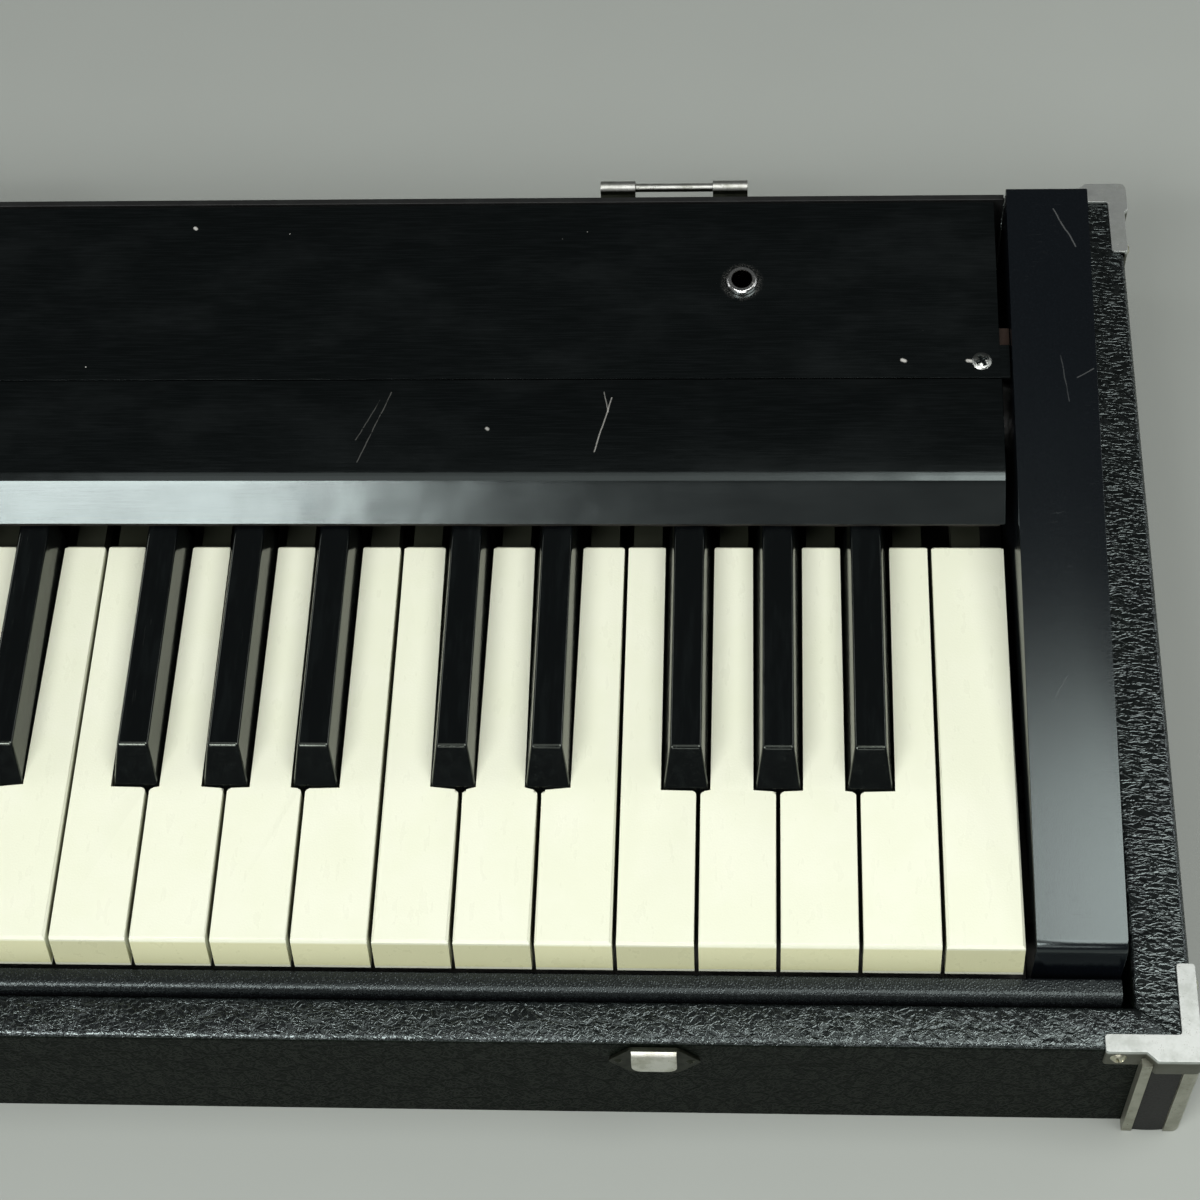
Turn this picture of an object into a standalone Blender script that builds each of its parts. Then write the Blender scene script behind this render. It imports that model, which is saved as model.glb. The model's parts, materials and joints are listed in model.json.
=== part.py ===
# Analog synthesizer in a covered carrying case, lid taken off.
# Thirty-two sprung keys, a folded panel over their tails, two end cheeks,
# and the chassis, electronics and case that hold them.
# Metres, +Z up, +Y towards the back, origin under the middle of the object.

import math

import bmesh
import bpy
from mathutils import Matrix, Vector

# General fits
GAP = 0.0003                      # between neighbouring pieces
HOLE_CLEARANCE = 0.0003           # round a shaft or barrel in its hole
ARC_STEP = math.radians(18)       # facet angle on small curves
OVERLAP = 0.0005                  # of two shapes that are joined
CUT_REACH = 0.01                  # of a cutting shape past a face

# Keyboard
KEY_PITCH = 0.0236
KEY_SPACE = 0.0013                # between two white keys
WHITE_CAP_LENGTH = 0.136
WHITE_CAP_HEIGHT = 0.0125
WHITE_HEAD_LENGTH = 0.0496        # in front of the black keys
WHITE_LIP_REACH = 0.0026          # of the foot of the sloping front
WHITE_LIP_HEIGHT = 0.0015         # of the upright edge below the slope
WHITE_EDGE = 0.0008
WHITE_SHELL = 0.0018
WHITE_TOP_THICKNESS = 0.003
CAP_SOLID_LENGTH = 0.011          # unhollowed rear end of a cap
CAP_CORNER_RADIUS = 0.0022
NOTCH_WIDTH = 0.0153              # in the white keys, for a black key
BLACK_BASE_WIDTH = 0.0132
BLACK_TOP_WIDTH = 0.0093
BLACK_FOOT_WIDTH = 0.0124
BLACK_HEIGHT = 0.0107             # above the white keys
BLACK_FRONT = 0.0505              # from the white keys' front edge
BLACK_FRONT_RUN = 0.0082          # length of the sloping front
BLACK_HIDDEN_LENGTH = 0.004       # past the end of the white caps
BLACK_EDGE = 0.0009
BLACK_SHELL = 0.0022
BLACK_TOP_THICKNESS = 0.0095      # above the white key level, kept solid
ARM_WIDTH = 0.009
ARM_TOP_DROP = 0.005              # under the white keys' top
PIVOT_DROP = 0.012
PIVOT_DISTANCE = 0.205            # from the white keys' front edge
ARM_PAST_PIVOT = 0.009
PIVOT_BEAD_RADIUS = 0.003
WHITE_DIP = 0.010                 # travel of the front edge
BLACK_DIP = 0.0079

# Place of a black key's centre, right of the joint between two white keys
BLACK_SHIFT_C = -0.0023
BLACK_SHIFT_D = 0.0024
BLACK_SHIFT_F = -0.0037
BLACK_SHIFT_G = 0.0
BLACK_SHIFT_A = 0.0035
WHITE_NOTES = "fgabcdefgabcdefgabc"
BLACK_SHIFTS = {
    "c": BLACK_SHIFT_C,
    "d": BLACK_SHIFT_D,
    "f": BLACK_SHIFT_F,
    "g": BLACK_SHIFT_G,
    "a": BLACK_SHIFT_A,
}

# Case
FRONT_WALL_THICKNESS = 0.0132
SIDE_WALL_THICKNESS = 0.017
REAR_WALL_THICKNESS = 0.0132
BOARD_THICKNESS = 0.006
KEYS_ABOVE_RIM = 0.017
COVER_RADIUS = 0.0018             # rounding of the covered edges
CABLE_WELL = 0.0315               # behind the rear panel

# Key bed and what stands on it
BED_HEIGHT = 0.0377
BED_SHEET = 0.002
KEYS_ABOVE_BED = 0.028
BED_FRONT_INSET = 0.002
BED_PAST_PIVOT = 0.027            # behind the line that the keys turn about
WHITE_STOP_DISTANCE = 0.022
BLACK_STOP_DISTANCE = 0.062
STOP_WIDTH = 0.008
RAIL_WEB = 0.004
RAIL_FOOT_WIDTH = 0.022
RAIL_FOOT_HEIGHT = 0.002

# Keyslip
KEYSLIP_DEPTH = 0.0064
KEYSLIP_BELOW_KEYS = 0.0128
KEYSLIP_TO_KEYS = 0.0034
KEYSLIP_RADIUS = 0.0022
KEYSLIP_BACK_RADIUS = 0.0008
KEYSLIP_INSET = 0.0005            # shorter than the cheeks at each end

# Cheeks
CHEEK_WIDTH = 0.0258
CHEEK_TO_KEYS = 0.0022
CHEEK_TO_WALL = 0.003
CHEEK_FRONT_REACH = 0.001
CHEEK_FRONT_RISE = 0.0015         # above the white keys
CHEEK_REAR_RISE = 0.040
CHEEK_PAST_PANEL = 0.0015         # the cheeks end behind the panel
CHEEK_FRONT_RADIUS = 0.0035
CHEEK_REAR_RADIUS = 0.0008
CHEEK_EDGE = 0.0013

# Panel over the key tails
PANEL_SHEET = 0.002
PANEL_SLOPE = math.radians(8.0)
PANEL_PAST_BED = 0.0135
LIP_OVER_CAPS = 0.0004            # over the ends of the white keys
LIP_RISE = 0.0126
LIP_LEAN = 0.0129                 # of the nose behind the lip
NOSE_RISE = 0.0225
NOSE_RADIUS = 0.003
PLATE_LENGTH = 0.0645             # behind the seam
PANEL_END_INSET = 0.0015
NOSE_END_INSET = 0.001
TONGUE_LENGTH = 0.012             # of the nose, under the plate
REAR_FLANGE = 0.009
PANEL_BEND_RADIUS = 0.0014
PANEL_INNER_BEND = 0.0008
PANEL_HOLE_DEPTH = 0.03           # of the shapes that cut the control holes
LUG_PAST_TONGUE = 0.0006
LUG_LENGTH = 0.006
LUG_BITE = 0.010
LUG_THICKNESS = 0.002
EAR_LENGTH = 0.0115               # of the plate's ears, behind the seam
EAR_TO_CHEEK = 0.0006
EAR_SINK = 0.0002                 # of their faces, under the plate's

# Rear panel and the mains unit in it
REAR_SHEET = 0.002
REAR_TOP_CLEARANCE = 0.0004
REAR_FOOT = 0.014
MAINS_FROM_LEFT = 0.130           # centre, from the left key end
MAINS_BELOW_FLANGE = 0.002        # of the panel plate
MAINS_WIDTH = 0.056
MAINS_HEIGHT = 0.024
MAINS_DEPTH = 0.028
MAINS_FLANGE = 0.004
MAINS_FLANGE_THICKNESS = 0.0025
MAINS_CORNER = 0.002
SOCKET_WIDTH = 0.0245
SOCKET_HEIGHT = 0.0165
SOCKET_DEPTH = 0.018
SOCKET_CORNER = 0.004
SOCKET_OFFSET = 0.0115            # from the unit's centre
PRONG_LENGTH = 0.011
PRONG_WIDTH = 0.002
PRONG_HEIGHT = 0.004
PRONG_SPACING = 0.007
ROCKER_WIDTH = 0.012
ROCKER_RADIUS = 0.0085
ROCKER_OFFSET = 0.0155
ROCKER_DEPTH = 0.009
ROCKER_PROUD = 0.0026
ROCKER_ANGLE = math.radians(8.0)
ROCKER_SPREAD = 26.0              # degrees of its round ends
ROCKER_BACK_SHARE = 0.55          # width of its back
ROCKER_HOLLOW_SHARE = 0.55        # height of its middle

# Jack and knobs in the panel
JACK_FROM_RIGHT = 0.0822
CONTROL_FROM_REAR = 0.030         # from the panel's rear edge
JACK_BORE_RADIUS = 0.003175
JACK_NUT_RADIUS = 0.0049
JACK_NUT_HEIGHT = 0.0018
JACK_NUT_EDGE = 0.0005
JACK_BARREL_RADIUS = 0.0042
JACK_BODY_WIDTH = 0.016
JACK_BODY_LENGTH = 0.012
JACK_BODY_DEPTH = 0.018
JACK_BORE_DEPTH = 0.017
KNOB_RADIUS = 0.0115
KNOB_HEIGHT = 0.013
KNOB_TAPER = 0.0012
KNOB_SKIRT = 0.0022               # height of the wide foot
KNOB_DRAFT = 0.0004
KNOB_EDGE = 0.0008
KNOB_LIFT = 0.0004                # over the panel
POINTER_WIDTH = 0.0014
POINTER_DEPTH = 0.0006
KNOB_SHAFT_RADIUS = 0.003
KNOB_SHAFT_LENGTH = 0.011
BUSH_RADIUS = 0.0055
BUSH_LENGTH = 0.006
VOLUME_FROM_LEFT = 0.072
TUNING_FROM_LEFT = 0.036

# Electronics under the key bed
MAIN_BOARD_WIDTH = 0.250
MAIN_BOARD_DEPTH = 0.120
MAIN_BOARD_SHEET = 0.0016
STANDOFF_HEIGHT = 0.006
STANDOFF_RADIUS = 0.0035
MAIN_BOARD_PLACE = 0.125          # centre, from the white keys' front edge
CHIP_COUNT = 5
CHIP_WIDTH = 0.020
CHIP_DEPTH = 0.007
CHIP_HEIGHT = 0.0035
CAPACITOR_RADIUS = 0.005
CAPACITOR_HEIGHT = 0.013
TRANSFORMER_WIDTH = 0.054
TRANSFORMER_DEPTH = 0.030
TRANSFORMER_HEIGHT = 0.033
WINDING_WIDTH = 0.032
WINDING_DEPTH = 0.044
WINDING_HEIGHT = 0.022
WINDING_EDGE = 0.004
TRANSFORMER_PLACE = 0.130
TRANSFORMER_FROM_LEFT = 0.045

# Corner guards
GUARD_PROUD = 0.004               # of the case's front and rear faces
GUARD_SIDE_PROUD = 0.0024         # and of its side faces
GUARD_FRONT_LEG = 0.0154          # of the edging, from the case's corner
GUARD_SIDE_LEG = 0.0075
GUARD_STRIP = 0.003               # width of the raised metal strips
GUARD_GROOVE = 0.0007
GUARD_RADIUS = 0.0025
CAP_SHEET = 0.0009
CAP_FRONT_LEG = 0.026
CAP_SIDE_LEG = 0.0262
CAP_BLOCK_LEG = 0.0144            # of its thick part, along the front
CAP_TOP_WIDTH = 0.0042            # of its legs on the rim
CAP_FLANGE = 0.0095
CAP_CHAMFER = 0.003

# Lid hinge halves and latch catches
FITTING_FROM_RIGHT = 0.1066       # centre, from the keyboard's right end
FITTING_FROM_LEFT = 0.072         # and from its left end, out of the photo
HINGE_WIDTH = 0.0517
HINGE_KNUCKLE_LENGTH = 0.0122
HINGE_KNUCKLE_RADIUS = 0.0024
HINGE_PIN_RADIUS = 0.0015
HINGE_PIN_OFFSET = 0.0055         # behind the rear wall
HINGE_PIN_DROP = 0.001            # under the rim
HINGE_LEAF_HEIGHT = 0.022
HINGE_LEAF_DROP = 0.003
HINGE_SHEET = 0.0013
CATCH_WIDTH = 0.0274              # between its two points
CATCH_FLAT = 0.014                # of its straight top and foot
CATCH_HEIGHT = 0.017
CATCH_DROP = 0.0019               # under the rim
CATCH_SHEET = 0.001
CATCH_LIP_WIDTH = 0.0132
CATCH_LIP_REACH = 0.0036
CATCH_LIP_FALL = 0.0099
CATCH_LIP_CURVE = 0.0042          # height of its round shoulder
CATCH_LIP_CORNER = 0.003
CATCH_LIP_STEPS = 6
CATCH_RADIUS = 0.002
CATCH_POINT_RADIUS = 0.0012

# Places worked out from the sizes above
KEYBOARD_WIDTH = len(WHITE_NOTES) * KEY_PITCH
CHEEK_INNER_X = KEYBOARD_WIDTH / 2 + CHEEK_TO_KEYS
CHEEK_OUTER_X = CHEEK_INNER_X + CHEEK_WIDTH
WALL_INNER_X = CHEEK_OUTER_X + CHEEK_TO_WALL
CASE_HALF_WIDTH = WALL_INNER_X + SIDE_WALL_THICKNESS
KEY_FRONT_FROM_CASE = FRONT_WALL_THICKNESS + GAP + KEYSLIP_DEPTH + KEYSLIP_TO_KEYS
PANEL_REAR_DISTANCE = PIVOT_DISTANCE + BED_PAST_PIVOT + PANEL_PAST_BED
LIP_DISTANCE = WHITE_CAP_LENGTH - LIP_OVER_CAPS
NOSE_DISTANCE = LIP_DISTANCE + LIP_LEAN
SEAM_DISTANCE = PANEL_REAR_DISTANCE - PLATE_LENGTH
CONTROL_DISTANCE = PANEL_REAR_DISTANCE - CONTROL_FROM_REAR
REAR_PANEL_DISTANCE = PANEL_REAR_DISTANCE + GAP + REAR_SHEET
CASE_DEPTH = KEY_FRONT_FROM_CASE + REAR_PANEL_DISTANCE + CABLE_WELL + REAR_WALL_THICKNESS
FRONT_REACH = GUARD_PROUD
REAR_REACH = HINGE_PIN_OFFSET + HINGE_KNUCKLE_RADIUS
CASE_FRONT_Y = -(CASE_DEPTH + REAR_REACH - FRONT_REACH) / 2
CASE_REAR_Y = CASE_FRONT_Y + CASE_DEPTH
KEY_FRONT_Y = CASE_FRONT_Y + KEY_FRONT_FROM_CASE
BED_TOP_Z = BOARD_THICKNESS + GAP + BED_HEIGHT
KEY_TOP_Z = BED_TOP_Z + KEYS_ABOVE_BED
RIM_Z = KEY_TOP_Z - KEYS_ABOVE_RIM
PIVOT_Y = KEY_FRONT_Y + PIVOT_DISTANCE
PIVOT_Z = KEY_TOP_Z - PIVOT_DROP
WHITE_SLOPE = WHITE_DIP / PIVOT_DISTANCE
BLACK_SLOPE = BLACK_DIP / (PIVOT_DISTANCE - BLACK_FRONT - BLACK_FRONT_RUN)


def panel_height(distance):
    """Height of the panel's upper face at a distance behind the key fronts."""
    return KEY_TOP_Z + NOSE_RISE + (distance - NOSE_DISTANCE) * math.tan(PANEL_SLOPE)


# Scene and materials

def clear_scene():
    for item in list(bpy.data.objects):
        bpy.data.objects.remove(item, do_unlink=True)


def make_material(name, colour, roughness, metallic=0.0):
    material = bpy.data.materials.new(name)
    material.use_nodes = True
    shader = material.node_tree.nodes["Principled BSDF"]
    shader.inputs["Base Color"].default_value = (*colour, 1.0)
    shader.inputs["Roughness"].default_value = roughness
    shader.inputs["Metallic"].default_value = metallic
    material.diffuse_color = (*colour, 1.0)
    return material


def make_materials():
    return {
        "white_key": make_material("white_key", (0.90, 0.87, 0.72), 0.35),
        "black_key": make_material("black_key", (0.012, 0.012, 0.016), 0.12),
        "cover": make_material("cover", (0.014, 0.014, 0.015), 0.55),
        "slip_cover": make_material("slip_cover", (0.018, 0.018, 0.020), 0.5),
        "panel_paint": make_material("panel_paint", (0.010, 0.011, 0.014), 0.38),
        "cheek_paint": make_material("cheek_paint", (0.012, 0.013, 0.018), 0.3),
        "nickel": make_material("nickel", (0.75, 0.74, 0.70), 0.25, 1.0),
        "aluminium": make_material("aluminium", (0.62, 0.62, 0.60), 0.4, 1.0),
        "chassis": make_material("chassis", (0.55, 0.56, 0.56), 0.4, 1.0),
        "board_wood": make_material("board_wood", (0.30, 0.20, 0.11), 0.7),
        "circuit_board": make_material("circuit_board", (0.20, 0.13, 0.05), 0.5),
        "core_steel": make_material("core_steel", (0.10, 0.10, 0.11), 0.5, 0.8),
        "black_plastic": make_material("black_plastic", (0.015, 0.015, 0.015), 0.4),
    }


# Mesh helpers

def finish_mesh(shape, name):
    bmesh.ops.recalc_face_normals(shape, faces=shape.faces)
    mesh = bpy.data.meshes.new(name)
    shape.to_mesh(mesh)
    shape.free()
    return mesh


def add_object(name, mesh, material=None, location=(0.0, 0.0, 0.0)):
    item = bpy.data.objects.new(name, mesh)
    item.location = location
    if material is not None:
        mesh.materials.clear()
        mesh.materials.append(material)
    bpy.context.collection.objects.link(item)
    return item


def rounded(corners):
    """Polygon from (a, b, radius) corners, with the corners of a radius turned into arcs."""
    points = []
    count = len(corners)
    for index, (a, b, radius) in enumerate(corners):
        corner = Vector((a, b))
        if radius == 0.0:
            points.append(corner)
            continue
        before = Vector(corners[index - 1][:2]) - corner
        after = Vector(corners[(index + 1) % count][:2]) - corner
        half_angle = before.angle(after) / 2
        reach = radius / math.tan(half_angle)
        start = corner + before.normalized() * reach
        inward = (before.normalized() + after.normalized()).normalized()
        middle = corner + inward * (radius / math.sin(half_angle))
        end = corner + after.normalized() * reach
        first = start - middle
        turn = first.angle_signed(end - middle)
        steps = max(2, math.ceil(abs(turn) / ARC_STEP))
        for step in range(steps + 1):
            angle = -turn * step / steps
            points.append(middle + Matrix.Rotation(angle, 2) @ first)
    return [tuple(point) for point in points]


def offset_corner(before, corner, after, depth):
    """Corner of a folded sheet's inner side, at a depth right of the path through the outer corner."""
    first = (Vector(corner) - Vector(before)).normalized()
    second = (Vector(after) - Vector(corner)).normalized()
    side = Vector((first.y + second.y, -first.x - second.x))
    return tuple(Vector(corner) + side * depth / (1 + first.dot(second)))


def arc(centre, radius, start, end, steps):
    """Points of an arc in the plane, angles in degrees."""
    points = []
    for step in range(steps + 1):
        angle = math.radians(start + (end - start) * step / steps)
        points.append((centre[0] + radius * math.cos(angle), centre[1] + radius * math.sin(angle)))
    return points


def place_point(plane, a, b, c):
    """Turn a point (a, b) of a plane, and a depth c, into x, y, z."""
    if plane == "xy":
        return (a, b, c)
    if plane == "xz":
        return (a, c, b)
    return (c, a, b)


def prism(points, low, high, plane):
    """Straight prism of a polygon in one of the planes xy, xz or yz."""
    shape = bmesh.new()
    lower = [shape.verts.new(place_point(plane, a, b, low)) for a, b in points]
    upper = [shape.verts.new(place_point(plane, a, b, high)) for a, b in points]
    shape.faces.new(lower)
    shape.faces.new(upper)
    for index in range(len(points)):
        follower = (index + 1) % len(points)
        shape.faces.new((lower[index], lower[follower], upper[follower], upper[index]))
    return shape


def block(low, high):
    """Box between two corners."""
    outline = [(low[0], low[1]), (high[0], low[1]), (high[0], high[1]), (low[0], high[1])]
    return prism(outline, low[2], high[2], "xy")


def turned(profile, steps):
    """Solid of revolution about Z from (radius, z) points that start and end on the axis."""
    shape = bmesh.new()
    rings = []
    for radius, z in profile:
        if radius == 0.0:
            rings.append([shape.verts.new((0.0, 0.0, z))])
            continue
        ring = []
        for step in range(steps):
            angle = 2 * math.pi * step / steps
            ring.append(shape.verts.new((radius * math.cos(angle), radius * math.sin(angle), z)))
        rings.append(ring)
    for first, second in zip(rings, rings[1:]):
        for step in range(steps):
            follower = (step + 1) % steps
            corners = [first[step % len(first)], first[follower % len(first)],
                       second[follower % len(second)], second[step % len(second)]]
            shape.faces.new(list(dict.fromkeys(corners)))
    return shape


def bevel_edges(shape, chosen, width, segments):
    edges = [edge for edge in shape.edges if chosen(edge)]
    bmesh.ops.bevel(shape, geom=edges, offset=width, offset_type="OFFSET", segments=segments,
                    profile=0.5, affect="EDGES", clamp_overlap=True)


def combine(target, shape, operation):
    """Boolean a helper shape into an object and keep the result as its mesh."""
    helper = add_object("helper", finish_mesh(shape, "helper"))
    helper.matrix_world = target.matrix_world.copy()
    modifier = target.modifiers.new("combine", "BOOLEAN")
    modifier.operation = operation
    modifier.solver = "EXACT"
    modifier.object = helper
    bpy.context.view_layer.update()
    graph = bpy.context.evaluated_depsgraph_get()
    mesh = bpy.data.meshes.new_from_object(target.evaluated_get(graph))
    target.modifiers.clear()
    target.data = mesh
    bpy.data.objects.remove(helper, do_unlink=True)


def smooth(item, degrees=35.0):
    item.data.shade_smooth()
    item.data.set_sharp_from_angle(angle=math.radians(degrees))


# Keys

def white_outline(left_notch, right_notch, inset):
    """Plan of a white key; the notches are x places or None, the inset is for its hollow."""
    half = (KEY_PITCH - KEY_SPACE) / 2
    tail_left = -half if left_notch is None else left_notch
    tail_right = half if right_notch is None else right_notch
    head_end = WHITE_HEAD_LENGTH - inset
    if inset > 0.0:
        front = inset
        end = WHITE_CAP_LENGTH - CAP_SOLID_LENGTH
        corners = [(-half + inset, front, 0.0), (half - inset, front, 0.0)]
        if right_notch is not None:
            corners += [(half - inset, head_end, 0.0), (tail_right - inset, head_end, 0.0)]
        corners += [(tail_right - inset, end, 0.0), (tail_left + inset, end, 0.0)]
        if left_notch is not None:
            corners += [(tail_left + inset, head_end, 0.0), (-half + inset, head_end, 0.0)]
        return rounded(corners)
    middle = (tail_left + tail_right) / 2
    tail_end = PIVOT_DISTANCE + ARM_PAST_PIVOT
    corners = [(-half, -WHITE_LIP_REACH, 0.0), (half, -WHITE_LIP_REACH, 0.0)]
    if right_notch is not None:
        corners += [(half, WHITE_HEAD_LENGTH, CAP_CORNER_RADIUS / 2), (tail_right, WHITE_HEAD_LENGTH, 0.0)]
    corners += [(tail_right, WHITE_CAP_LENGTH, CAP_CORNER_RADIUS / 2),
                (middle + ARM_WIDTH / 2, WHITE_CAP_LENGTH, 0.0),
                (middle + ARM_WIDTH / 2, tail_end, 0.0),
                (middle - ARM_WIDTH / 2, tail_end, 0.0),
                (middle - ARM_WIDTH / 2, WHITE_CAP_LENGTH, 0.0),
                (tail_left, WHITE_CAP_LENGTH, CAP_CORNER_RADIUS / 2)]
    if left_notch is not None:
        corners += [(tail_left, WHITE_HEAD_LENGTH, 0.0), (-half, WHITE_HEAD_LENGTH, CAP_CORNER_RADIUS / 2)]
    return rounded(corners)


def pivot_notch():
    """Half-round notch under an arm, as (y, z) points from back to front."""
    centre = (PIVOT_DISTANCE, -PIVOT_DROP)
    return arc(centre, PIVOT_BEAD_RADIUS + HOLE_CLEARANCE, 0, 180, 8)


def white_side_profile():
    over = WHITE_EDGE + 0.001
    points = [(-WHITE_LIP_REACH, -WHITE_CAP_HEIGHT),
              (-WHITE_LIP_REACH, -WHITE_CAP_HEIGHT + WHITE_LIP_HEIGHT),
              (0.0, -WHITE_EDGE), (over, over - WHITE_EDGE),
              (WHITE_CAP_LENGTH - over, over - WHITE_EDGE), (WHITE_CAP_LENGTH, -WHITE_EDGE),
              (WHITE_CAP_LENGTH, -ARM_TOP_DROP),
              (PIVOT_DISTANCE + ARM_PAST_PIVOT, -ARM_TOP_DROP),
              (PIVOT_DISTANCE + ARM_PAST_PIVOT, -PIVOT_DROP)]
    points += pivot_notch()
    points += [(WHITE_CAP_LENGTH, -PIVOT_DROP), (WHITE_CAP_LENGTH, -WHITE_CAP_HEIGHT)]
    return points


def make_white_mesh(name, left_notch, right_notch):
    """White key about the middle of its head; y from its front edge, z from its top."""
    below = -WHITE_CAP_HEIGHT - 0.002
    plan = prism(white_outline(left_notch, right_notch, 0.0), below, 0.0, "xy")
    bevel_edges(plan, lambda edge: all(vert.co.z > -1e-6 for vert in edge.verts), WHITE_EDGE, 1)
    key = add_object(name, finish_mesh(plan, name))
    combine(key, prism(white_side_profile(), -KEY_PITCH, KEY_PITCH, "yz"), "INTERSECT")
    hollow = prism(white_outline(left_notch, right_notch, WHITE_SHELL), below, -WHITE_TOP_THICKNESS, "xy")
    combine(key, hollow, "DIFFERENCE")
    mesh = key.data
    bpy.data.objects.remove(key, do_unlink=True)
    return mesh


def make_black_mesh():
    """Black key about its middle; y and z from the white keys' front edge and top."""
    rear = WHITE_CAP_LENGTH + BLACK_HIDDEN_LENGTH
    levels = [(-WHITE_CAP_HEIGHT, BLACK_FOOT_WIDTH / 2, BLACK_FRONT),
              (0.0, BLACK_BASE_WIDTH / 2, BLACK_FRONT),
              (BLACK_HEIGHT, BLACK_TOP_WIDTH / 2, BLACK_FRONT + BLACK_FRONT_RUN)]
    shape = bmesh.new()
    rings = []
    for z, half, front in levels:
        rings.append([shape.verts.new(place) for place in
                      ((-half, front, z), (half, front, z), (half, rear, z), (-half, rear, z))])
    shape.faces.new(rings[0])
    shape.faces.new(rings[2])
    for lower, upper in zip(rings, rings[1:]):
        for index in range(4):
            follower = (index + 1) % 4
            shape.faces.new((lower[index], lower[follower], upper[follower], upper[index]))
    bevel_edges(shape, lambda edge: max(vert.co.z for vert in edge.verts) > 1e-6
                and min(vert.co.y for vert in edge.verts) < rear - 1e-6, BLACK_EDGE, 2)
    key = add_object("black_key", finish_mesh(shape, "black_key"))
    arm_profile = [(rear - CAP_SOLID_LENGTH, -ARM_TOP_DROP), (rear - CAP_SOLID_LENGTH, -PIVOT_DROP)]
    arm_profile += list(reversed(pivot_notch()))
    arm_end = PIVOT_DISTANCE + ARM_PAST_PIVOT
    arm_profile += [(arm_end, -PIVOT_DROP), (arm_end, -ARM_TOP_DROP)]
    combine(key, prism(arm_profile, -ARM_WIDTH / 2, ARM_WIDTH / 2, "yz"), "UNION")
    inner = BLACK_FOOT_WIDTH / 2 - BLACK_SHELL
    hollow = block((-inner, BLACK_FRONT + BLACK_SHELL, -WHITE_CAP_HEIGHT - 0.002),
                   (inner, rear - CAP_SOLID_LENGTH - 0.001, BLACK_HEIGHT - BLACK_TOP_THICKNESS))
    combine(key, hollow, "DIFFERENCE")
    mesh = key.data
    bpy.data.objects.remove(key, do_unlink=True)
    mesh.shade_smooth()
    mesh.set_sharp_from_angle(angle=math.radians(35))
    return mesh


def notch_places(index):
    """Left and right notch of a white key, from its middle, or None."""
    notes = WHITE_NOTES
    half_pitch = KEY_PITCH / 2
    left = None
    right = None
    if index > 0 and notes[index - 1] in BLACK_SHIFTS:
        left = -half_pitch + BLACK_SHIFTS[notes[index - 1]] + NOTCH_WIDTH / 2
    if index < len(notes) - 1 and notes[index] in BLACK_SHIFTS:
        right = half_pitch + BLACK_SHIFTS[notes[index]] - NOTCH_WIDTH / 2
    return left, right


def add_key(number, note, mesh, material, centre_x):
    """Put a key on its pivot, so that its origin lies on the joint's axis."""
    pivot = bpy.data.objects.new(f"pivot_{number:02d}", None)
    pivot.location = (centre_x, PIVOT_Y, PIVOT_Z)
    bpy.context.collection.objects.link(pivot)
    key = add_object(f"key_{number:02d}_{note}", mesh, material)
    key.parent = pivot
    key.location = (0.0, KEY_FRONT_Y - PIVOT_Y, KEY_TOP_Z - PIVOT_Z)


def add_keyboard(materials):
    white_meshes = {}
    black_mesh = make_black_mesh()
    number = 1
    for index, note in enumerate(WHITE_NOTES):
        notches = notch_places(index)
        if notches not in white_meshes:
            white_meshes[notches] = make_white_mesh(f"white_key_{note}_{len(white_meshes)}", *notches)
        centre = (index + 0.5) * KEY_PITCH - KEYBOARD_WIDTH / 2
        add_key(number, note, white_meshes[notches], materials["white_key"], centre)
        number += 1
        if notches[1] is not None:
            black_x = centre + KEY_PITCH / 2 + BLACK_SHIFTS[note]
            add_key(number, f"{note}_sharp", black_mesh, materials["black_key"], black_x)
            number += 1


# Case

def add_wall(name, material, length, thickness, neighbour, place, angle):
    """Covered wall with mitred ends; its outer face looks along -Y before it is turned."""
    outline = rounded([(0.0, 0.0, 0.0), (thickness, 0.0, 0.0),
                       (thickness, RIM_Z, COVER_RADIUS), (0.0, RIM_Z, COVER_RADIUS)])
    shape = prism(outline, -1.0, 1.0, "yz")
    for vert in shape.verts:
        end = length / 2 - GAP / 2 - vert.co.y * neighbour / thickness
        vert.co.x = math.copysign(end, vert.co.x)
    wall = add_object(name, finish_mesh(shape, name), material, place)
    wall.rotation_euler.z = angle
    smooth(wall)


def add_case(materials):
    width = 2 * CASE_HALF_WIDTH
    middle_y = (CASE_FRONT_Y + CASE_REAR_Y) / 2
    cover = materials["cover"]
    add_wall("front_wall", cover, width, FRONT_WALL_THICKNESS, SIDE_WALL_THICKNESS,
             (0.0, CASE_FRONT_Y, 0.0), 0.0)
    add_wall("rear_wall", cover, width, REAR_WALL_THICKNESS, SIDE_WALL_THICKNESS,
             (0.0, CASE_REAR_Y, 0.0), math.pi)
    add_side_wall("side_wall_right", cover, CASE_HALF_WIDTH, middle_y, 1)
    add_side_wall("side_wall_left", cover, -CASE_HALF_WIDTH, middle_y, -1)
    low = (-WALL_INNER_X + GAP, CASE_FRONT_Y + FRONT_WALL_THICKNESS + GAP, 0.0)
    high = (WALL_INNER_X - GAP, CASE_REAR_Y - REAR_WALL_THICKNESS - GAP, BOARD_THICKNESS)
    add_object("bottom_board", finish_mesh(block(low, high), "bottom_board"), materials["board_wood"])


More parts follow.
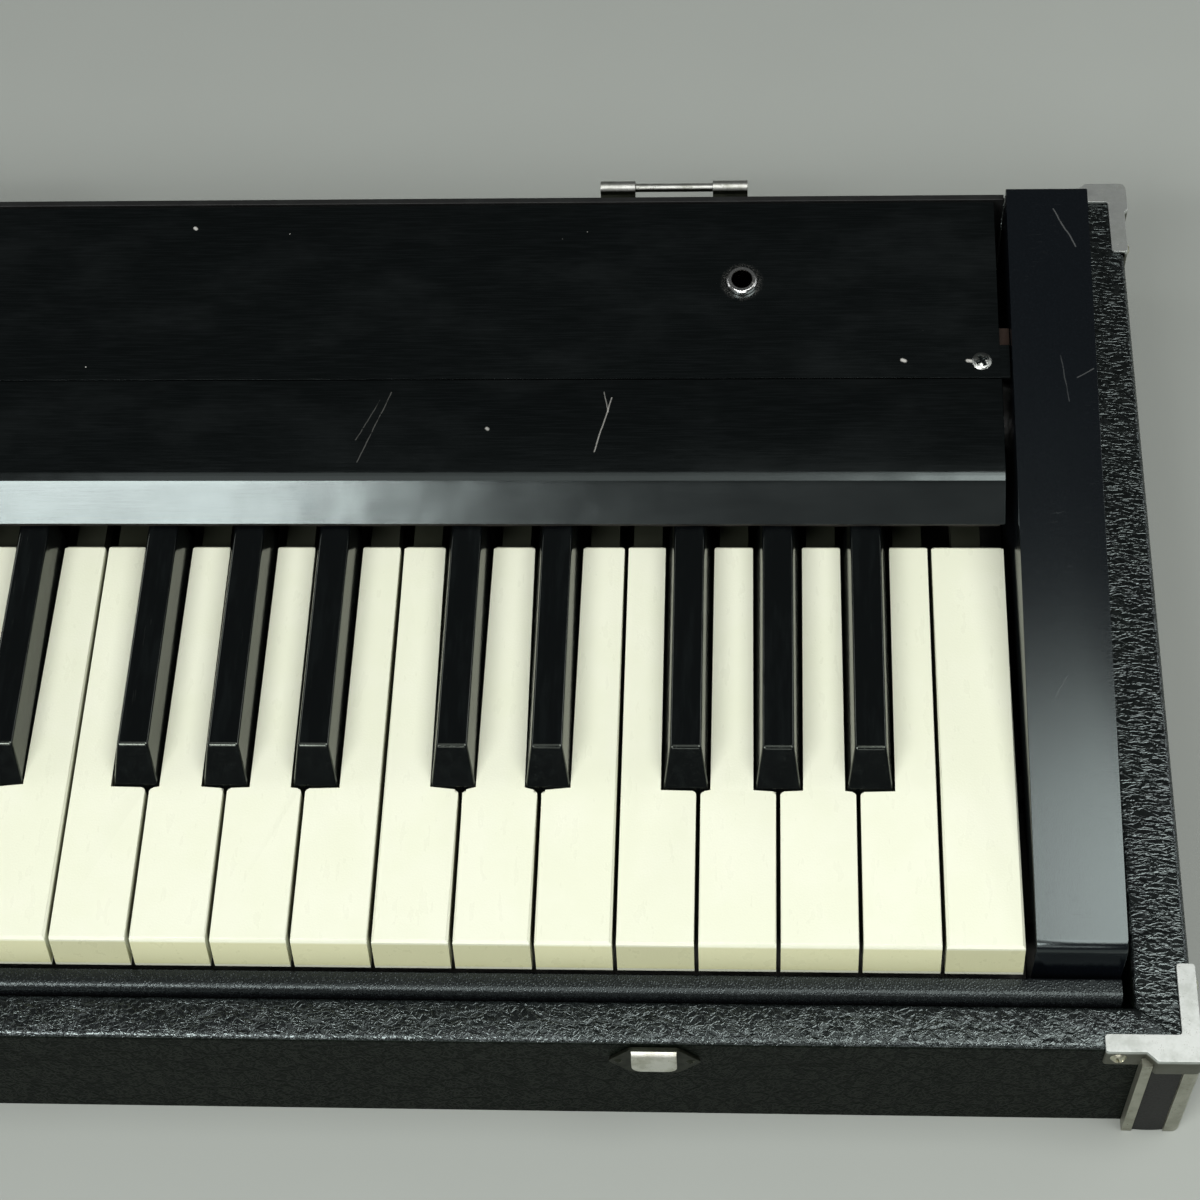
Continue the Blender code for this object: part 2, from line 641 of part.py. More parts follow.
def add_side_wall(name, material, face_x, middle_y, side):
    """Side wall; its two mitres follow the front and the rear wall's thickness."""
    outline = rounded([(0.0, 0.0, 0.0), (SIDE_WALL_THICKNESS, 0.0, 0.0),
                       (SIDE_WALL_THICKNESS, RIM_Z, COVER_RADIUS), (0.0, RIM_Z, COVER_RADIUS)])
    shape = prism(outline, -1.0, 1.0, "xz")
    for vert in shape.verts:
        into = vert.co.x / SIDE_WALL_THICKNESS
        if vert.co.y < 0:
            vert.co.y = CASE_FRONT_Y - middle_y + GAP / 2 + into * FRONT_WALL_THICKNESS
        else:
            vert.co.y = CASE_REAR_Y - middle_y - GAP / 2 - into * REAR_WALL_THICKNESS
        vert.co.x *= -side
    wall = add_object(name, finish_mesh(shape, name), material, (face_x, middle_y, 0.0))
    smooth(wall)


def cap_outline():
    """Plan of a corner cap about the case's outer corner, which lies at +x and -y."""
    sheet = GAP + CAP_SHEET
    top = CAP_TOP_WIDTH
    side = GUARD_SIDE_PROUD
    return rounded([
        (-CAP_FRONT_LEG, -sheet, 0.001), (-CAP_BLOCK_LEG, -sheet, 0.0),
        (-CAP_BLOCK_LEG + CAP_CHAMFER, -GUARD_PROUD, 0.0), (side, -GUARD_PROUD, GUARD_RADIUS),
        (side, GUARD_SIDE_LEG, 0.0), (sheet, GUARD_SIDE_LEG + side - sheet, 0.0),
        (sheet, CAP_SIDE_LEG, 0.001), (-top, CAP_SIDE_LEG, 0.001),
        (-top, top, 0.001), (-CAP_FRONT_LEG, top, 0.001)])


def edging_outline():
    """Plan of the edging below a cap: two raised strips with a sunk insert between them."""
    proud = GUARD_PROUD - CAP_SHEET / 3
    side_proud = GUARD_SIDE_PROUD - CAP_SHEET / 3
    sunk = proud - GUARD_GROOVE
    return rounded([
        (-GUARD_FRONT_LEG, -GAP, 0.0), (-GUARD_FRONT_LEG, -proud, 0.0),
        (-GUARD_FRONT_LEG + GUARD_STRIP, -proud, 0.0), (-GUARD_FRONT_LEG + GUARD_STRIP, -sunk, 0.0),
        (-GUARD_STRIP, -sunk, 0.0), (-GUARD_STRIP, -proud, 0.0),
        (side_proud, -proud, GUARD_RADIUS), (side_proud, GUARD_SIDE_LEG, 0.0), (GAP, GUARD_SIDE_LEG, 0.0),
        (GAP, -GAP, 0.0)])


def add_corner_guard(name, material, side_x, side_y):
    """Cap and edging of one corner; side_x and side_y are 1 or -1."""
    corner_y = CASE_FRONT_Y if side_y < 0 else CASE_REAR_Y
    top = RIM_Z + GAP + CAP_SHEET
    guard = add_object(name, finish_mesh(prism(cap_outline(), top - CAP_FLANGE, top, "xy"), name))
    case_corner = block((-1.0, -GAP, -1.0), (GAP, 1.0, RIM_Z + GAP))
    combine(guard, case_corner, "DIFFERENCE")
    combine(guard, prism(edging_outline(), 0.0, top - CAP_FLANGE / 2, "xy"), "UNION")
    shape = bmesh.new()
    shape.from_mesh(guard.data)
    bmesh.ops.scale(shape, vec=(side_x, -side_y, 1.0), verts=shape.verts)
    bmesh.ops.translate(shape, vec=(side_x * CASE_HALF_WIDTH, corner_y, 0.0), verts=shape.verts)
    guard.data = finish_mesh(shape, name)
    guard.data.materials.append(material)
    smooth(guard)


def add_corner_guards(materials):
    for depth_name, side_y in (("front", -1), ("rear", 1)):
        for side_name, side_x in (("right", 1), ("left", -1)):
            add_corner_guard(f"corner_guard_{depth_name}_{side_name}", materials["nickel"], side_x, side_y)


def add_lid_hinge(name, material, centre_x):
    """Hinge half that stays on the case, with the pin that the lid's half slips off."""
    half = HINGE_WIDTH / 2
    wall_y = CASE_REAR_Y + GAP
    pin_y = CASE_REAR_Y + HINGE_PIN_OFFSET
    pin_z = RIM_Z - HINGE_PIN_DROP
    leaf_top = RIM_Z - HINGE_LEAF_DROP
    leaf = block((-half, wall_y, leaf_top - HINGE_LEAF_HEIGHT), (half, wall_y + HINGE_SHEET, leaf_top))
    hinge = add_object(name, finish_mesh(leaf, name), None)
    on_pin = Matrix.Translation((0.0, pin_y, pin_z)) @ Matrix.Rotation(math.pi / 2, 4, "Y")
    for low in (-half, half - HINGE_KNUCKLE_LENGTH):
        high = low + HINGE_KNUCKLE_LENGTH
        ear_base = pin_z - HINGE_KNUCKLE_RADIUS
        root = leaf_top - 2 * HINGE_SHEET
        ear = [(wall_y, root), (wall_y + HINGE_SHEET, root),
               (wall_y + HINGE_SHEET, ear_base - HINGE_SHEET / 2), (pin_y, ear_base),
               (pin_y, ear_base + HINGE_SHEET), (wall_y, ear_base + HINGE_SHEET)]
        combine(hinge, prism(ear, low, high, "yz"), "UNION")
        radius = HINGE_KNUCKLE_RADIUS
        knuckle = turned([(0.0, low), (radius, low), (radius, high), (0.0, high)], 16)
        bmesh.ops.transform(knuckle, matrix=on_pin, verts=knuckle.verts)
        combine(hinge, knuckle, "UNION")
    overlap = HINGE_KNUCKLE_LENGTH / 2
    low = -half + overlap
    high = half - overlap
    pin = turned([(0.0, low), (HINGE_PIN_RADIUS, low), (HINGE_PIN_RADIUS, high), (0.0, high)], 12)
    bmesh.ops.transform(pin, matrix=on_pin, verts=pin.verts)
    combine(hinge, pin, "UNION")
    hinge.data.materials.clear()
    hinge.data.materials.append(material)
    hinge.location.x = centre_x
    smooth(hinge)


def add_latch_catch(name, material, centre_x):
    """Plate on the front wall with a lip for the lid's latch."""
    face = CASE_FRONT_Y - GAP
    top = RIM_Z - CATCH_DROP
    half = CATCH_WIDTH / 2
    flat = CATCH_FLAT / 2
    low = top - CATCH_HEIGHT
    middle = (low + top) / 2
    outline = rounded([(-flat, low, CATCH_RADIUS), (flat, low, CATCH_RADIUS),
                       (half, middle, CATCH_POINT_RADIUS),
                       (flat, top, CATCH_RADIUS), (-flat, top, CATCH_RADIUS),
                       (-half, middle, CATCH_POINT_RADIUS)])
    plate = prism(outline, face - CATCH_SHEET, face, "xz")
    catch = add_object(name, finish_mesh(plate, name), None)
    lip_top = top - CATCH_SHEET
    root = face - CATCH_SHEET / 2
    out = CATCH_LIP_REACH + root - CASE_FRONT_Y
    fall = lip_top - CATCH_LIP_FALL
    outer, inner = [], []
    for i in range(CATCH_LIP_STEPS + 1):
        angle = math.pi / 2 * i / CATCH_LIP_STEPS
        outer.append((root - out * math.sin(angle), lip_top - CATCH_LIP_CURVE * (1 - math.cos(angle))))
        inner.append((root - (out - CATCH_SHEET) * math.sin(angle),
                      lip_top - CATCH_SHEET - (CATCH_LIP_CURVE - CATCH_SHEET) * (1 - math.cos(angle))))
    lip = outer + [(root - out, fall), (root - out + CATCH_SHEET, fall)] + inner[::-1]
    half_lip = CATCH_LIP_WIDTH / 2
    strip = finish_mesh(prism(lip, -half_lip, half_lip, "yz"), name + "_lip")
    tongue = add_object(name + "_lip", strip, None)
    front_view = rounded([(-half_lip, fall, CATCH_LIP_CORNER), (half_lip, fall, CATCH_LIP_CORNER),
                          (half_lip, lip_top + CUT_REACH, 0.0), (-half_lip, lip_top + CUT_REACH, 0.0)])
    combine(tongue, prism(front_view, root - out - CUT_REACH, root + CUT_REACH, "xz"), "INTERSECT")
    shape = bmesh.new()
    shape.from_mesh(tongue.data)
    bpy.data.objects.remove(tongue, do_unlink=True)
    combine(catch, shape, "UNION")
    catch.data.materials.clear()
    catch.data.materials.append(material)
    catch.location.x = centre_x
    smooth(catch)


def add_case_fittings(materials):
    half = KEYBOARD_WIDTH / 2
    for side_name, centre_x in (("right", half - FITTING_FROM_RIGHT), ("left", FITTING_FROM_LEFT - half)):
        add_lid_hinge(f"lid_hinge_{side_name}", materials["nickel"], centre_x)
        add_latch_catch(f"latch_catch_{side_name}", materials["nickel"], centre_x)


# Keyslip, cheeks and key bed

def add_keyslip(materials):
    front = CASE_FRONT_Y + FRONT_WALL_THICKNESS + GAP
    rear = front + KEYSLIP_DEPTH
    low = BOARD_THICKNESS + GAP
    top = KEY_TOP_Z - KEYSLIP_BELOW_KEYS
    outline = rounded([(front, low, 0.0), (rear, low, 0.0), (rear, top, KEYSLIP_BACK_RADIUS),
                       (front, top, KEYSLIP_RADIUS)])
    reach = CHEEK_OUTER_X - KEYSLIP_INSET
    slip = add_object("keyslip", finish_mesh(prism(outline, -reach, reach, "yz"), "keyslip"),
                      materials["slip_cover"])
    smooth(slip)


def add_cheek(name, material, inner_x, outer_x):
    front = KEY_FRONT_Y - CHEEK_FRONT_REACH
    rear = KEY_FRONT_Y + PANEL_REAR_DISTANCE + CHEEK_PAST_PANEL
    low = BOARD_THICKNESS + GAP
    rear_top = KEY_TOP_Z + CHEEK_REAR_RISE
    front_top = KEY_TOP_Z + CHEEK_FRONT_RISE
    outline = rounded([(front, low, 0.0), (rear, low, 0.0), (rear, rear_top, CHEEK_REAR_RADIUS),
                       (front, front_top, CHEEK_FRONT_RADIUS)])
    shape = prism(outline, min(inner_x, outer_x), max(inner_x, outer_x), "yz")
    bevel_edges(shape, lambda edge: abs(edge.verts[0].co.x - edge.verts[1].co.x) < 1e-6
                and (min(vert.co.z for vert in edge.verts) > low + 1e-6
                     or min(vert.co.y for vert in edge.verts) > rear - 1e-6), CHEEK_EDGE, 2)
    cheek = add_object(name, finish_mesh(shape, name), material)
    smooth(cheek)


def add_cheeks(materials):
    add_cheek("cheek_right", materials["cheek_paint"], CHEEK_INNER_X, CHEEK_OUTER_X)
    add_cheek("cheek_left", materials["cheek_paint"], -CHEEK_OUTER_X, -CHEEK_INNER_X)


def stop_height(slope, distance):
    """Top of a stop under a key's lower edge when the key is fully down."""
    return KEY_TOP_Z - WHITE_CAP_HEIGHT - (PIVOT_DISTANCE - distance) * slope - GAP


def add_key_bed(materials):
    """Folded channel under the keys, with the two stop rails that the keys land on."""
    low = BOARD_THICKNESS + GAP
    front = KEY_FRONT_Y + BED_FRONT_INSET
    rear = PIVOT_Y + BED_PAST_PIVOT
    top = BED_TOP_Z
    under = top - BED_SHEET
    outline = [(front, low), (front + BED_SHEET, low), (front + BED_SHEET, under),
               (rear - BED_SHEET, under), (rear - BED_SHEET, low), (rear, low), (rear, top)]
    stops = ((BLACK_STOP_DISTANCE, BLACK_SLOPE), (WHITE_STOP_DISTANCE, WHITE_SLOPE))
    for distance, slope in stops:
        middle = KEY_FRONT_Y + distance
        height = stop_height(slope, distance - STOP_WIDTH / 2)
        outline += [(middle + STOP_WIDTH / 2, top), (middle + STOP_WIDTH / 2, height),
                    (middle - STOP_WIDTH / 2, height), (middle - STOP_WIDTH / 2, top)]
    outline.append((front, top))
    reach = CHEEK_INNER_X - GAP
    add_object("key_bed", finish_mesh(prism(outline, -reach, reach, "yz"), "key_bed"), materials["chassis"])


def add_pivot_rail(materials):
    """Rail with the round bead that the notches of all the keys sit on."""
    base = BED_TOP_Z + GAP
    foot = base + RAIL_FOOT_HEIGHT
    web = RAIL_WEB / 2
    half_foot = RAIL_FOOT_WIDTH / 2
    outline = [(PIVOT_Y - half_foot, base), (PIVOT_Y + half_foot, base), (PIVOT_Y + half_foot, foot),
               (PIVOT_Y + web, foot)]
    start = -math.degrees(math.acos(web / PIVOT_BEAD_RADIUS))
    outline += arc((PIVOT_Y, PIVOT_Z), PIVOT_BEAD_RADIUS, start, 180 - start, 14)
    outline += [(PIVOT_Y - web, foot), (PIVOT_Y - half_foot, foot)]
    reach = KEYBOARD_WIDTH / 2
    rail = add_object("pivot_rail", finish_mesh(prism(outline, -reach, reach, "yz"), "pivot_rail"),
                      materials["aluminium"])
    smooth(rail)


# Panel

def slope_point(distance, depth):
    """Point (y, z) at a depth square to the panel's upper face."""
    y = KEY_FRONT_Y + distance + depth * math.sin(PANEL_SLOPE)
    z = panel_height(distance) - depth * math.cos(PANEL_SLOPE)
    return y, z


def add_panel_nose(materials):
    """Folded front of the panel: top face, rounded nose, lip, and a tongue under the plate."""
    seam = SEAM_DISTANCE - GAP / 2
    sheet = PANEL_SHEET
    nose = (KEY_FRONT_Y + NOSE_DISTANCE, KEY_TOP_Z + NOSE_RISE)
    lip = (KEY_FRONT_Y + LIP_DISTANCE, KEY_TOP_Z + LIP_RISE)
    lip_angle = math.atan2(nose[1] - lip[1], nose[0] - lip[0])
    inner_nose = offset_corner(lip, nose, slope_point(seam, 0.0), sheet)
    inner_lip = (lip[0] + sheet / math.sin(lip_angle), lip[1])
    top_end = slope_point(seam, 0.0)
    step = slope_point(seam, sheet + GAP)
    tongue_top = slope_point(seam + TONGUE_LENGTH, sheet + GAP)
    tongue_low = slope_point(seam + TONGUE_LENGTH, 2 * sheet + GAP)
    under = slope_point(seam - sheet, 2 * sheet + GAP)
    joggle = slope_point(seam - 2 * sheet, sheet)
    corners = [(*lip, 0.0), (*inner_lip, 0.0), (*inner_nose, PANEL_INNER_BEND), (*joggle, 0.0),
               (*under, 0.0), (*tongue_low, 0.0), (*tongue_top, 0.0), (*step, 0.0), (*top_end, 0.0),
               (*nose, NOSE_RADIUS)]
    reach = KEYBOARD_WIDTH / 2 - NOSE_END_INSET
    item = add_object("panel_nose", finish_mesh(prism(rounded(corners), -reach, reach, "yz"), "panel_nose"),
                      materials["panel_paint"])
    smooth(item)


def control_frame(x, depth=0.0):
    """Frame on the panel's upper face with its z square to the panel."""
    y, z = slope_point(CONTROL_DISTANCE, depth)
    return Matrix.Translation((x, y, z)) @ Matrix.Rotation(PANEL_SLOPE, 4, "X")


def rod(frame, radius, low, high, steps=20):
    shape = turned([(0.0, low), (radius, low), (radius, high), (0.0, high)], steps)
    bmesh.ops.transform(shape, matrix=frame, verts=shape.verts)
    return shape


def control_places():
    left = -KEYBOARD_WIDTH / 2
    return {
        "jack": KEYBOARD_WIDTH / 2 - JACK_FROM_RIGHT,
        "volume": left + VOLUME_FROM_LEFT,
        "tuning": left + TUNING_FROM_LEFT,
    }


def add_panel_plate(materials):
    """Folded plate behind the nose, with its rear flange, end lugs, and holes for the controls."""
    sheet = PANEL_SHEET
    start = SEAM_DISTANCE + GAP / 2
    rear = PANEL_REAR_DISTANCE
    rear_y = KEY_FRONT_Y + rear
    top_rear = (rear_y, panel_height(rear))
    drop = top_rear[1] - REAR_FLANGE
    inner_bend = offset_corner(slope_point(start, 0.0), top_rear, (rear_y, drop), sheet)
    corners = [(*slope_point(start, 0.0), 0.0), (*slope_point(start, sheet), 0.0),
               (*inner_bend, PANEL_INNER_BEND), (rear_y - sheet, drop, 0.0),
               (rear_y, drop, 0.0), (*top_rear, PANEL_BEND_RADIUS)]
    reach = KEYBOARD_WIDTH / 2 - PANEL_END_INSET
    sheet_shape = prism(rounded(corners), -reach, reach, "yz")
    plate = add_object("panel_plate", finish_mesh(sheet_shape, "panel_plate"))
    lug_start = SEAM_DISTANCE + TONGUE_LENGTH + LUG_PAST_TONGUE
    lug_end = lug_start + LUG_LENGTH
    ear_end = start + EAR_LENGTH
    ear_face = EAR_SINK
    ear_back = sheet - EAR_SINK
    ear = [slope_point(start + EAR_SINK, ear_face), slope_point(ear_end, ear_face),
           slope_point(ear_end, ear_back), slope_point(start + EAR_SINK, ear_back)]
    for side in (-1, 1):
        outer = side * (CHEEK_INNER_X - GAP)
        inner = side * (reach - LUG_BITE)
        lug = [slope_point(lug_start, sheet / 2), slope_point(lug_end, sheet / 2),
               slope_point(lug_end, sheet + LUG_THICKNESS), slope_point(lug_start, sheet + LUG_THICKNESS)]
        hidden = prism(lug, min(inner, outer), max(inner, outer), "yz")
        gap_cut = 2 * sheet
        combine(plate, hidden, "UNION")
        near = lug_start - gap_cut
        far = lug_end + gap_cut
        trim = [slope_point(near, -sheet), slope_point(far, -sheet),
                slope_point(far, sheet), slope_point(near, sheet)]
        edge = side * reach
        beyond = side * (CHEEK_INNER_X + gap_cut)
        combine(plate, prism(trim, min(edge, beyond), max(edge, beyond), "yz"), "DIFFERENCE")
        ear_root = side * (reach - OVERLAP)
        ear_tip = side * (CHEEK_INNER_X - EAR_TO_CHEEK)
        combine(plate, prism(ear, min(ear_root, ear_tip), max(ear_root, ear_tip), "yz"), "UNION")
    places = control_places()
    for name in ("volume", "tuning"):
        frame = control_frame(places[name])
        hole = KNOB_SHAFT_RADIUS + HOLE_CLEARANCE
        combine(plate, rod(frame, BUSH_RADIUS, -sheet - BUSH_LENGTH, -sheet / 2), "UNION")
        combine(plate, rod(frame, hole, -PANEL_HOLE_DEPTH, CUT_REACH), "DIFFERENCE")
    jack_hole = JACK_BARREL_RADIUS + HOLE_CLEARANCE
    combine(plate, rod(control_frame(places["jack"]), jack_hole, -PANEL_HOLE_DEPTH, CUT_REACH), "DIFFERENCE")
    plate.data.materials.clear()
    plate.data.materials.append(materials["panel_paint"])
    smooth(plate)


def add_panel_jack(materials):
    """Jack socket: nut over the plate, barrel through its hole, body below."""
    frame = control_frame(control_places()["jack"])
    sheet = PANEL_SHEET
    nut_low = GAP
    nut_high = nut_low + JACK_NUT_HEIGHT
    nut = [(0.0, nut_low), (JACK_NUT_RADIUS, nut_low), (JACK_NUT_RADIUS, nut_high - JACK_NUT_EDGE),
           (JACK_NUT_RADIUS - JACK_NUT_EDGE, nut_high), (0.0, nut_high)]
    shape = turned(nut, 24)
    bmesh.ops.transform(shape, matrix=frame, verts=shape.verts)
    jack = add_object("panel_jack", finish_mesh(shape, "panel_jack"))
    body_top = -sheet - GAP
    combine(jack, rod(frame, JACK_BARREL_RADIUS, body_top - 2 * OVERLAP, nut_high - OVERLAP, 24), "UNION")
    body = block((-JACK_BODY_WIDTH / 2, -JACK_BODY_LENGTH / 2, body_top - JACK_BODY_DEPTH),
                 (JACK_BODY_WIDTH / 2, JACK_BODY_LENGTH / 2, body_top))
    bmesh.ops.transform(body, matrix=frame, verts=body.verts)
    combine(jack, body, "UNION")
    bore = rod(frame, JACK_BORE_RADIUS, nut_high - JACK_BORE_DEPTH, nut_high + CUT_REACH, 24)
    combine(jack, bore, "DIFFERENCE")
    jack.data.materials.clear()
    jack.data.materials.append(materials["nickel"])
    smooth(jack)


def add_knob(name, material, x):
    """Knob with its shaft; the origin lies on the turning axis."""
    base = GAP + KNOB_LIFT
    top = base + KNOB_HEIGHT
    shaft_low = -PANEL_SHEET - KNOB_SHAFT_LENGTH
    waist = KNOB_RADIUS - KNOB_TAPER
    profile = [(0.0, shaft_low), (KNOB_SHAFT_RADIUS, shaft_low), (KNOB_SHAFT_RADIUS, base),
               (KNOB_RADIUS, base), (KNOB_RADIUS, base + KNOB_SKIRT),
               (waist, base + KNOB_SKIRT + KNOB_TAPER),
               (waist - KNOB_DRAFT, top - KNOB_EDGE), (waist - KNOB_DRAFT - KNOB_EDGE, top), (0.0, top)]
    knob = add_object(name, finish_mesh(turned(profile, 32), name))
    pointer = block((-POINTER_WIDTH / 2, waist / 3, top - POINTER_DEPTH),
                    (POINTER_WIDTH / 2, KNOB_RADIUS, top + CUT_REACH))
    combine(knob, pointer, "DIFFERENCE")
    knob.data.materials.clear()
    knob.data.materials.append(material)
    knob.matrix_world = control_frame(x)
    smooth(knob)


def add_controls(materials):
    places = control_places()
    add_panel_jack(materials)
    add_knob("volume_knob", materials["black_plastic"], places["volume"])
    add_knob("tuning_knob", materials["black_plastic"], places["tuning"])


# Rear panel and mains unit

def mains_centre():
    x = -KEYBOARD_WIDTH / 2 + MAINS_FROM_LEFT
    y = KEY_FRONT_Y + PANEL_REAR_DISTANCE + GAP + REAR_SHEET
    z = panel_height(PANEL_REAR_DISTANCE) - REAR_FLANGE - MAINS_BELOW_FLANGE - MAINS_HEIGHT / 2
    return x, y, z


def add_rear_panel(materials):
    """Upright chassis plate with a foot on the bottom board and a window for the mains unit."""
    front = KEY_FRONT_Y + PANEL_REAR_DISTANCE + GAP
    low = BOARD_THICKNESS + GAP
    top = panel_height(PANEL_REAR_DISTANCE) - REAR_TOP_CLEARANCE
    rear = front + REAR_SHEET
    outline = [(front, low), (rear, low), (rear, top), (front, top)]
    reach = CHEEK_INNER_X - GAP
    panel = add_object("rear_panel", finish_mesh(prism(outline, -reach, reach, "yz"), "rear_panel"))
    foot = block((-reach, rear - REAR_SHEET / 2, low), (reach, rear + REAR_FOOT, low + REAR_SHEET))
    combine(panel, foot, "UNION")
    x, y, z = mains_centre()
    half_width = MAINS_WIDTH / 2 + GAP
    half_height = MAINS_HEIGHT / 2 + GAP
    window = block((x - half_width, front - CUT_REACH, z - half_height),
                   (x + half_width, y + CUT_REACH, z + half_height))
    combine(panel, window, "DIFFERENCE")
    panel.data.materials.clear()
    panel.data.materials.append(materials["panel_paint"])


def rocker_window(margin):
    """Half sizes of the rocker's window: across, and up from its middle."""
    return ROCKER_WIDTH / 2 + margin, ROCKER_RADIUS + margin


def add_power_inlet(materials):
    """Mains unit: inlet socket with its prongs, and the window that holds the rocker."""
    x, y, z = mains_centre()
    half_width = MAINS_WIDTH / 2
    half_height = MAINS_HEIGHT / 2
    face = y + GAP + MAINS_FLANGE_THICKNESS
    body = block((x - half_width, y - MAINS_DEPTH, z - half_height),
                 (x + half_width, face - 2 * OVERLAP, z + half_height))
    unit = add_object("power_inlet", finish_mesh(body, "power_inlet"))
    outer_x = half_width + MAINS_FLANGE
    outer_z = half_height + MAINS_FLANGE
    corner = MAINS_CORNER
    outline = rounded([(x - outer_x, z - outer_z, corner), (x + outer_x, z - outer_z, corner),
                       (x + outer_x, z + outer_z, corner), (x - outer_x, z + outer_z, corner)])
    combine(unit, prism(outline, y + GAP, face, "xz"), "UNION")
    socket_x = x + SOCKET_OFFSET
    half_socket = SOCKET_WIDTH / 2
    low = z - SOCKET_HEIGHT / 2
    high = z + SOCKET_HEIGHT / 2
    mouth = rounded([(socket_x - half_socket, low, 0.0), (socket_x + half_socket, low, 0.0),
                     (socket_x + half_socket, high - SOCKET_CORNER, 0.0),
                     (socket_x + half_socket - SOCKET_CORNER, high, 0.0),
                     (socket_x - half_socket + SOCKET_CORNER, high, 0.0),
                     (socket_x - half_socket, high - SOCKET_CORNER, 0.0)])
    floor_y = face - SOCKET_DEPTH
    combine(unit, prism(mouth, floor_y, face + CUT_REACH, "xz"), "DIFFERENCE")
    for offset in (-PRONG_SPACING, 0.0, PRONG_SPACING):
        prong_x = socket_x + offset
        prong_z = z + (PRONG_HEIGHT / 3 if offset == 0.0 else -PRONG_HEIGHT / 3)
        prong = block((prong_x - PRONG_WIDTH / 2, floor_y - 2 * OVERLAP, prong_z - PRONG_HEIGHT / 2),
                      (prong_x + PRONG_WIDTH / 2, floor_y + PRONG_LENGTH, prong_z + PRONG_HEIGHT / 2))
        combine(unit, prong, "UNION")
    across, up = rocker_window(GAP)
    rocker_x = x - ROCKER_OFFSET
    window = block((rocker_x - across, face - ROCKER_DEPTH - 2 * GAP, z - up),
                   (rocker_x + across, face + CUT_REACH, z + up))
    combine(unit, window, "DIFFERENCE")
    unit.data.materials.clear()
    unit.data.materials.append(materials["black_plastic"])


def rocker_axis():
    x, y, z = mains_centre()
    return x - ROCKER_OFFSET, y + GAP + MAINS_FLANGE_THICKNESS - ROCKER_PROUD, z


def add_power_switch(materials):
    """Rocker in its off place, tipped about the axis that its origin lies on."""
    radius = ROCKER_RADIUS
    face_turn = math.degrees(ROCKER_ANGLE)
    back = ROCKER_DEPTH - 2 * ROCKER_PROUD
    points = arc((0.0, 0.0), radius, 90 - ROCKER_SPREAD, 90, 4)
    points += [(-back, radius * ROCKER_BACK_SHARE), (-back, -radius * ROCKER_BACK_SHARE)]
    points += arc((0.0, 0.0), radius, -90, -90 + ROCKER_SPREAD, 4)
    points.append((ROCKER_PROUD * ROCKER_HOLLOW_SHARE, 0.0))
    turn = Matrix.Rotation(math.radians(face_turn), 4, "X")
    shape = prism(points, -ROCKER_WIDTH / 2, ROCKER_WIDTH / 2, "yz")
    bmesh.ops.transform(shape, matrix=turn, verts=shape.verts)
    rocker = add_object("power_switch", finish_mesh(shape, "power_switch"), materials["black_plastic"],
                        rocker_axis())
    smooth(rocker)


# Electronics

def add_main_board(materials):
    """Circuit board on four standoffs, with its larger components."""
    base = BOARD_THICKNESS + GAP
    low = base + STANDOFF_HEIGHT
    middle_y = KEY_FRONT_Y + MAIN_BOARD_PLACE
    half_width = MAIN_BOARD_WIDTH / 2
    half_depth = MAIN_BOARD_DEPTH / 2
    upper = low + MAIN_BOARD_SHEET
    sheet = block((-half_width, middle_y - half_depth, low), (half_width, middle_y + half_depth, upper))
    board = add_object("main_board", finish_mesh(sheet, "main_board"))
    inset = 3 * STANDOFF_RADIUS
    for side_x in (-1, 1):
        for side_y in (-1, 1):
            corner_x = side_x * (half_width - inset)
            place = Matrix.Translation((corner_x, middle_y + side_y * (half_depth - inset), 0.0))
            combine(board, rod(place, STANDOFF_RADIUS, base, low + OVERLAP, 12), "UNION")
    for step in range(CHIP_COUNT):
        centre_x = (step - (CHIP_COUNT - 1) / 2) * MAIN_BOARD_WIDTH / (CHIP_COUNT + 1)
        chip = block((centre_x - CHIP_WIDTH / 2, middle_y - CHIP_DEPTH / 2, upper - OVERLAP),
                     (centre_x + CHIP_WIDTH / 2, middle_y + CHIP_DEPTH / 2, upper + CHIP_HEIGHT))
        combine(board, chip, "UNION")
        place = Matrix.Translation((centre_x, middle_y + half_depth / 2, 0.0))
        combine(board, rod(place, CAPACITOR_RADIUS, upper - OVERLAP, upper + CAPACITOR_HEIGHT, 12), "UNION")
    board.data.materials.clear()
    board.data.materials.append(materials["circuit_board"])


def add_transformer(materials):
    """Laminated core on end with its winding through it."""
    x = -KEYBOARD_WIDTH / 2 + TRANSFORMER_FROM_LEFT
    y = KEY_FRONT_Y + TRANSFORMER_PLACE
    low = BOARD_THICKNESS + GAP
    core = block((x - TRANSFORMER_WIDTH / 2, y - TRANSFORMER_DEPTH / 2, low),
                 (x + TRANSFORMER_WIDTH / 2, y + TRANSFORMER_DEPTH / 2, low + TRANSFORMER_HEIGHT))
    item = add_object("power_transformer", finish_mesh(core, "power_transformer"))
    middle = low + TRANSFORMER_HEIGHT / 2
    winding = block((x - WINDING_WIDTH / 2, y - WINDING_DEPTH / 2, middle - WINDING_HEIGHT / 2),
                    (x + WINDING_WIDTH / 2, y + WINDING_DEPTH / 2, middle + WINDING_HEIGHT / 2))
    bevel_edges(winding, lambda edge: abs(edge.verts[0].co.y - edge.verts[1].co.y) < 1e-6, WINDING_EDGE, 2)
    combine(item, winding, "UNION")
    item.data.materials.clear()
    item.data.materials.append(materials["core_steel"])


